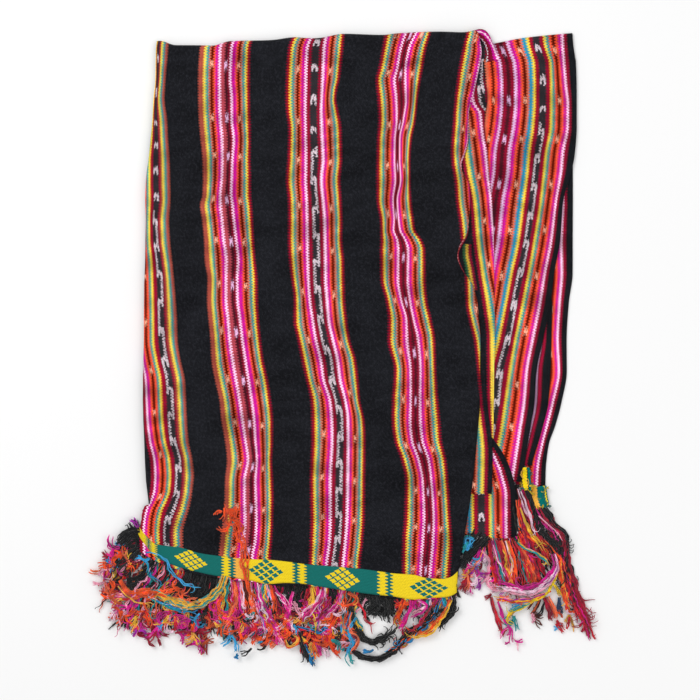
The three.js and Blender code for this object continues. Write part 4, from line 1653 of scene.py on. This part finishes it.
# Clumps of curls: piece, colours, yarns, size, height, place.
TUFTS = """
1 tangle 16 7 7 117,552
1 tangle 20 7 7 112,566
1 tangle 16 7 7 111,580
1 tangle 16 7 7 117,591
1 rear_dark 16 9 3 115,560
1 rear_dark 16 9 3 113,580
1 tangle 12 7 8 122,596
1 tangle 12 7 8 128,566
1 magenta 18 7 8 128,605
1 magenta 18 9 8 162,621
1 purples 8 4 7 136,630
1 pinks 22 9 7 112,600
1 pinks 18 8 7 112,577
1 reds 16 8 7 113,558
1 oranges 20 8 8 107,592
1 orange 14 7 8 122,615
1 light_pink 10 7 8 103,582
1 reds 14 7 7 155,635
1 orange 14 7 8 145,613
1 black 18 9 7 138,575
1 black 14 8 7 128,550
1 blues 8 6 8 120,567
1 oranges 10 6 8 105,568
2 magenta 20 8 8 190,622
2 magenta 14 6 7 196,643
2 rust 16 7 7 208,628
2 rust 12 6 7 203,647
2 orange 26 9 7 228,620
2 orange 18 7 7 240,634
2 blue 8 4 7 237,655
2 browns 10 6 7 254,651
2 pinks 14 8 7 178,632
2 oranges 16 8 8 182,612
2 black 12 7 7 210,612
2 reds 12 7 7 217,606
3 black 16 8 6 283,605
3 light_pink 12 7 7 300,612
3 pinks 12 7 6 275,640
3 reds 14 8 6 310,606
3 orange 12 6 6 262,640
3 black 12 7 6 296,640
4 magenta 16 8 7 316,615
4 black 12 7 6 340,630
4 reds 16 8 6 325,607
4 light_pink 10 4 7 361,608
4 cool 14 7 7 351,645
4 orange 12 6 7 338,652
5 black 14 7 6 378,607
5 fire 12 6 7 398,606
5 black 12 6 6 450,612
5 blue 8 5 7 372,652
5 pinks 8 5 7 405,640
"""


def near_falls(skein, low, high):
    """Bundles of warp ends all along the hem."""
    for root in np.arange(low, high, FALL_PITCH):
        fullness = FALL["fullness"](root)
        root = root + rng.uniform(-0.5, 0.5)
        spread = rng.normal(0, 1.0)
        foot = FALL["root_y"](root)
        short = rng.random() > 0.5 + 0.4 * (fullness - 0.4)
        reach = rng.uniform(0.35, 0.6) if short else rng.uniform(0.75, 1.02)
        way = (FALL["way_x"](root) + 5 * spread, FALL["way_y"](root) + rng.normal(0, 3))
        tip = (FALL["tip_x"](root) + 6 * spread, FALL["tip_y"](root) - 3 + rng.normal(0, 3))
        base, _ = resample([(root, foot - 4), (root + 0.4 * spread, foot + 6), way, tip], 12)
        places = [base[int(i)] for i in np.linspace(0, 11 * min(reach, 1), 5)]
        palette = hem_palette(root)
        dark = palette in ("black", "dark_red", "brown")
        height = rng.uniform(1.2, 3.5) if dark else rng.uniform(2.5, 7.0)
        yarns = 6 if fullness > FULL else 4
        skein.bundle(places, palette, yarns, (1.2, 3.2), height, 6.0, 1.0, 0.8, 1.3)
        # Dark yarns below fill the gaps between the strands as painted shade.
        if fullness > FULL:
            shade = ("black", "dark_red", "black", "reds")[rng.integers(4)]
            skein.bundle(places, shade, 3, (2.0, 6.0), 1.6, 4.0, 1.4, 1.15, 1.5)


def near_mat(skein, low, high):
    """The ends tangle into a thick mat of small curls that point away from the hem."""
    names = PALETTES["tangle"]
    for root in np.arange(low, min(high, MAT_END), MAT_PITCH):
        far_out = rng.uniform(0.0, MAT_REACH)
        way_x, way_y = FALL["way_x"](root), FALL["way_y"](root)
        tip_x, tip_y = FALL["tip_x"](root), FALL["tip_y"](root)
        x = mix(way_x, tip_x, far_out) + rng.normal(0, 3)
        y = mix(way_y, tip_y, far_out) - 4 + rng.normal(0, 3)
        out = math.atan2(tip_y - way_y, tip_x - way_x)
        for _ in range(2):
            name = names[rng.integers(len(names))]
            place = (x + rng.normal(0, 4), y + rng.normal(0, 4))
            skein.tuft(place, name, 8, 7.5, rng.uniform(4, 7.5), 0.75, out)
        # A low dark tuft under each clump is painted shade between the curls.
        skein.tuft((x, y), ("dark_red", "black", "red")[rng.integers(3)], 8, 9, 2.2, 1.15, out)


def tangle_over_band(skein):
    """A loose orange tangle that has come up over the band."""
    for place in ((228, 511), (233, 516), (231, 524), (236, 532)):
        skein.tuft(place, "orange", 12, 6.5, 14.8, 0.6)
    for shift in (-1.4, 0, 1.6, 3.2, 4.6):
        start = [(228 + shift, 508), (236 + shift, 528), (243 + shift, 552), (244 + shift, 572)]
        base, length = resample(start + [(249, 590), (257, 601)], 40)
        skein.add(base, length, 12.0, "orange", 0.75, 15.5, 0.8)
    for text in ("240,506 232,517 226,530 228,540", "224,503 229,514 241,524 246,536"):
        skein.bundle(places_of(text), "orange", 4, (2, 3), 14.8, None, 0.8, 0.6)


def lay_by_hand(skeins, bundles, tufts, frizz, radius, wave, out=None):
    for piece, palette, count, (*wide, height), places in laid(bundles):
        skeins[piece - 1].bundle(places, palette, count, wide, height, None, frizz, radius, wave)
    for piece, palette, count, (size, height), (place,) in laid(tufts):
        skeins[piece - 1].tuft(place, palette, count, size, height, 0.7, out)


def build_near_fringe():
    skeins = [Skein() for _ in PIECES]
    for skein, (low, high) in zip(skeins, PIECES):
        near_falls(skein, low, high)
    lay_by_hand(skeins, BUNDLES, TUFTS, 0.8, 0.85, 0.9)
    for skein, (low, high) in zip(skeins, PIECES):
        near_mat(skein, low, high)
    tangle_over_band(skeins[1])
    for i, skein in enumerate(skeins, 1):
        skein.build(f"yarns_near_{i}", f"fringe_front_{i}")


# The far fringe: as the tables above.
REAR_BUNDLES = """
1 blues 12 3 5 5 474,540 467,538 465,545 471,547 476,541
1 black 40 7 6 5 488,539 481,545 475,551 466,561 459,572
1 black 16 9 8 2 473,534 471,543 467,552 463,560
1 black 26 14 10 2.5 482,533 478,540 472,548 466,556
1 rear_dark 16 8 9 2.5 484,545 480,556 477,566 474,578
1 pinks 10 4 6 3.5 482,548 477,558 470,568 466,580
1 pale 16 5 8 3.5 484,548 481,558 474,568 468,578
1 light_pink 8 2 2.5 6 482,551 489,560 489,571 487.5,581 491,588 502,592
1 reds 9 3 8 3 470,574 465,584 460,595
1 reds 9 3 8 3 466,574 470,584 475,592
1 reds 10 3 4 4 489,541 491,556 495,572 500,588
1 magenta 10 3 4 5 493,541 497,556 500,572 503,590
1 dark_red 10 3 5 3 497,541 501,556 505,574 508,592
1 oranges 12 3 5 5 501,541 505,552 507,566 512,592
1 whites 6 2 3 6 494,545 499,560 506,573 509,585
1 pale 7 2 3 5.5 506,541 510,553 513,566 512,580
1 fire 10 3 4 5 509,541 513,554 516,570 514,592
1 red 12 3 5 5 514,542 520,554 524,568 530,590
1 black 10 3 4 3 517,540 524,553 529,568 530,585
1 oranges 12 3 6 4.5 520,546 526,558 532,572 536,588
1 reds 10 3 6 4 524,548 532,560 538,572 540,586
1 lagoon 10 2 3 6 518,542 526,549 536,553 545,560 551,568
1 white 9 1.5 2 9.5 555,554 557,566 550,578 540,587 526,592 512,588.5 499,586 491,584
1 magenta 8 4 1.5 9 553,554 555,566 548,577 538,584 526,588.5 513,585.5 500,582.5 492,581
1 pinks 10 1.5 3 8.5 557,560 558,570 551,582 540,591 526,595 512,592 499,590 491,588
1 purples 4 2 2 9.5 556,556 558,567 554,578 544,588
1 bright_yellow 6 2.5 4 7.5 557,573 551,588 540,598 527,605 515,611 507,619 514,624 518,616
1 rainbow 10 3 6 7 545,597 530,603 517,610 509,618 507,627
1 fire 12 2 4 7 551,591 537,599 522,603 506,600 493,598
1 pale 9 2 3 7.5 545,594 528,599 512,600 498,597 492,593
1 blues 7 3 3 6.5 530,603 523,606 515,608 509,611
1 band_yellow 6 2 2 7.5 551,582 557,588 563,597
1 reds 10 3 3.5 4 491,598 494,611 499,624 503,638
1 magenta 9 3 3 5 498,602 504,619 510,632 511,645
1 pinks 6 2 3 5 509,628 504,632 501,640
1 light_pink 2 1 1 3 513,638 518,644 520,655
1 browns 14 10 14 3.5 540,600 536,608 530,615
1 oranges 10 4 4 5 549,597 554,607 557,620
1 dark_red 7 3 4 4 545,598 550,610 552,622
2 black 34 9 9 2 518.5,485 520,500 522,518 526,538
2 rear_dark 26 11 10 2 527,486 531,502 537,520 546,536
2 dark_red 12 5 6 3.5 521,488 525,503 530,520 539,538 550,550
2 pinks 8 3 3 5.5 518,489 521,500 526,512 529,522
2 white 4 1 1.5 6.5 519.5,488 524,500 529,514 533,530 538,541
2 oranges 16 4 6 4.5 519,500 521,515 526,531 538,541 549,549 553,560
2 rainbow 5 2 3 6 520,508 525,522 531,535 541,547 549,558
2 black 24 4 4.5 6.5 527,490 532,503 535,518 537,527 546,535 557,546 562,556
2 magenta 8 2 3 4.5 536,509 541,518 550,530 560,544 563,558
2 whites 5 1 1.5 6.5 539,516 546,522 554,529 564,541
2 dark_red 26 6 8 4.5 539,508 547,521 558,532 565,545 564,562
2 black 18 2.5 2.5 5 542,507 550,516 555,524 567,535 568.5,547 567,562
2 black 8 2 2 6 546,508 549,512 552,516 550,521
2 pinks 8 3 3 4.5 543,521 553,533 560,546 563,560
2 dark_red 34 6 7 4.5 565,545 564,560 568,576 574,594 580,610 591,636
2 reds 14 4 5 5.5 563,552 562,565 567,580 573,598 581,614 589,632
2 dark_red 12 2 4 5.5 568,560 571,576 578,593 584,608 593,632
2 black 5 1 2 6 566,566 573,588 583,612 590,630
2 orange 3 0.8 1 7.5 545,541 558,556 566,571 572,589 577,600
2 fire 14 3 5 5 561,560 562,575 565,593 569,612
2 oranges 12 4 6 4.5 558,562 560,576 564,592 566,608
2 reds 10 4 7 4 585,619 590,630 595,641
2 rear_dark 10 4 8 3 583,616 587,629 591,641
2 peach 2 1 1 3 570,612 573,622 576,633
2 navy 7 2 2.5 4 560,598 560,607 562,618
"""
REAR_TUFTS = """
1 pale 16 7 5 481,561
1 whites 16 6 5 485,571
1 pale 12 6 4 479,578
1 pinks 12 6 4 471,585
1 purples 8 5 5 477,569
1 blues 14 5 6 470,541
1 pale 14 7 4 468,572
1 pinks 10 6 4 476,566
1 purples 8 5 4 481,563
1 light_blue 8 5 5 474,560
1 pinks 8 5 3 491,592
1 whites 14 6 4 497,578
1 browns 12 7 4 536,610
1 light_pink 10 6 4 533,616
1 oranges 10 5 5 556,614
1 reds 8 5 4 556,621
1 blues 4 4 3 561,624
1 rainbow 10 6 6 513,617
1 magenta 8 4 4 512,640
2 fire 10 5 5 568,604
2 whites 8 4 4 576,613
2 fire 8 5 4 570,617
2 reds 8 4 4 583,620
2 rear_dark 8 4 3 587,624
"""
REAR_FALL = table("""
root root_x root_y way_x way_y tip_x tip_y
0 488 541 492 560 499 590
1 499 541 503 562 511 595
2 510 541 516 562 524 594
3 519 536 529 560 539 590
4 521 500 534 540 548 576
5 526 490 542 530 558 566
6 536 506 556 538 570 596
7 542 508 560 540 586 630
""")
# Frayed ends of the far band's two gathered bits.
FRAYED = """
1 band_yellow 5 3 8 525,471
1 band_green 6 2.6 8 529,474
1 band_yellow 5 3 8 525,479
1 band_yellow 12 3.4 8 527,487
1 band_green 7 2.8 8 530,485
1 band_green 6 2.6 8 524,489
1 bright_yellow 6 2.6 8 530,490
2 band_green 7 2.6 6.6 545,488
2 bright_yellow 6 2.4 6.6 546,490
2 bright_yellow 3 2.4 6.6 542,497
2 bright_yellow 5 2.6 6.6 545,505
2 band_green 8 2.8 6.6 544,500
2 band_green 5 2.4 6.6 546,507
"""


def build_far_fringe():
    skeins = [Skein(), Skein()]
    for root in np.arange(0, 7.01, 0.12):
        spread = rng.normal(0, 1.0)
        at = {key: line(root) for key, line in REAR_FALL.items()}
        places = [
            (at["root_x"], at["root_y"] - 2),
            (at["way_x"] + 2.5 * spread, at["way_y"] + rng.normal(0, 3)),
            (at["tip_x"] + 3 * spread, at["tip_y"] + rng.normal(0, 3)),
        ]
        names = PALETTES["rear" if root < 4 else "rear_dark"]
        name = names[rng.integers(len(names))]
        skein = skeins[0 if root < 4 else 1]
        skein.bundle(places, name, 5, (1.5, 3.5), rng.uniform(2.0, 4.0), 2.0, 0.7, 0.8, 0.9)
        # Dark yarns below are painted shade in the gaps between the coloured strands.
        shade = ("black", "dark_red", "black")[rng.integers(3)]
        skein.bundle(places, shade, 3, (2.0, 5.0), 1.6, 1.6, 1.0, 1.2, 1.2)
    lay_by_hand(skeins, REAR_BUNDLES, REAR_TUFTS, 0.5, 0.75, 0.6, 1.4)
    for i, skein in enumerate(skeins, 1):
        skein.build(f"yarns_far_{i}", f"fringe_rear_{i}")
    frayed = [Skein(), Skein()]
    for piece, palette, count, (size, height), (place,) in laid(FRAYED):
        frayed[piece - 1].tuft(place, palette, count, size, height, 0.42)
    for i, skein in enumerate(frayed, 1):
        skein.build(f"band_far_{i}", f"band_rear_{i}", "band")


build_near_fringe()
build_far_fringe()
build_turned_edges()

# ------------------------------------------------------------------------------- stage

floor_mesh = bpy.data.meshes.new("floor")
half = 4.0
corners = [(-half, -half, 0), (half, -half, 0), (half, half, 0), (-half, half, 0)]
floor_mesh.from_pydata(corners, [], [(0, 1, 2, 3)])
floor_mesh.materials.append(Nodes("floor").surface((0.93, 0.93, 0.93, 1), 0.9))
link("floor", floor_mesh)


def area_light(name, place, size, power):
    """A square light that shines on the origin."""
    data = bpy.data.lights.new(name, "AREA")
    data.shape = "SQUARE"
    data.size = size
    data.energy = power
    light = link(name, data)
    light.location = place
    light.rotation_euler = (-Vector(place)).to_track_quat("-Z", "Y").to_euler()


area_light("key", (-1.6, 1.5, 2.4), 1.6, 46)
area_light("fill", (1.9, -0.8, 2.4), 2.2, 22)

world = bpy.data.worlds.new("world")
bpy.context.scene.world = world
world.use_nodes = True
world.node_tree.nodes["Background"].inputs["Color"].default_value = (1, 1, 1, 1)
world.node_tree.nodes["Background"].inputs["Strength"].default_value = 0.62

# The camera looks straight down on the middle of the drafting sheet and sees all its squares.
SHEET = 700
camera_data = bpy.data.cameras.new("camera")
camera_data.lens = 85
camera_data.sensor_width = 36
camera = link("camera", camera_data)
middle = to_m(SHEET / 2, SHEET / 2, 0.0)
away = SHEET * SQUARE * camera_data.lens / camera_data.sensor_width
camera.location = (middle[0], middle[1], away + 0.010)
bpy.context.scene.camera = camera
bpy.context.scene.view_settings.view_transform = "Standard"
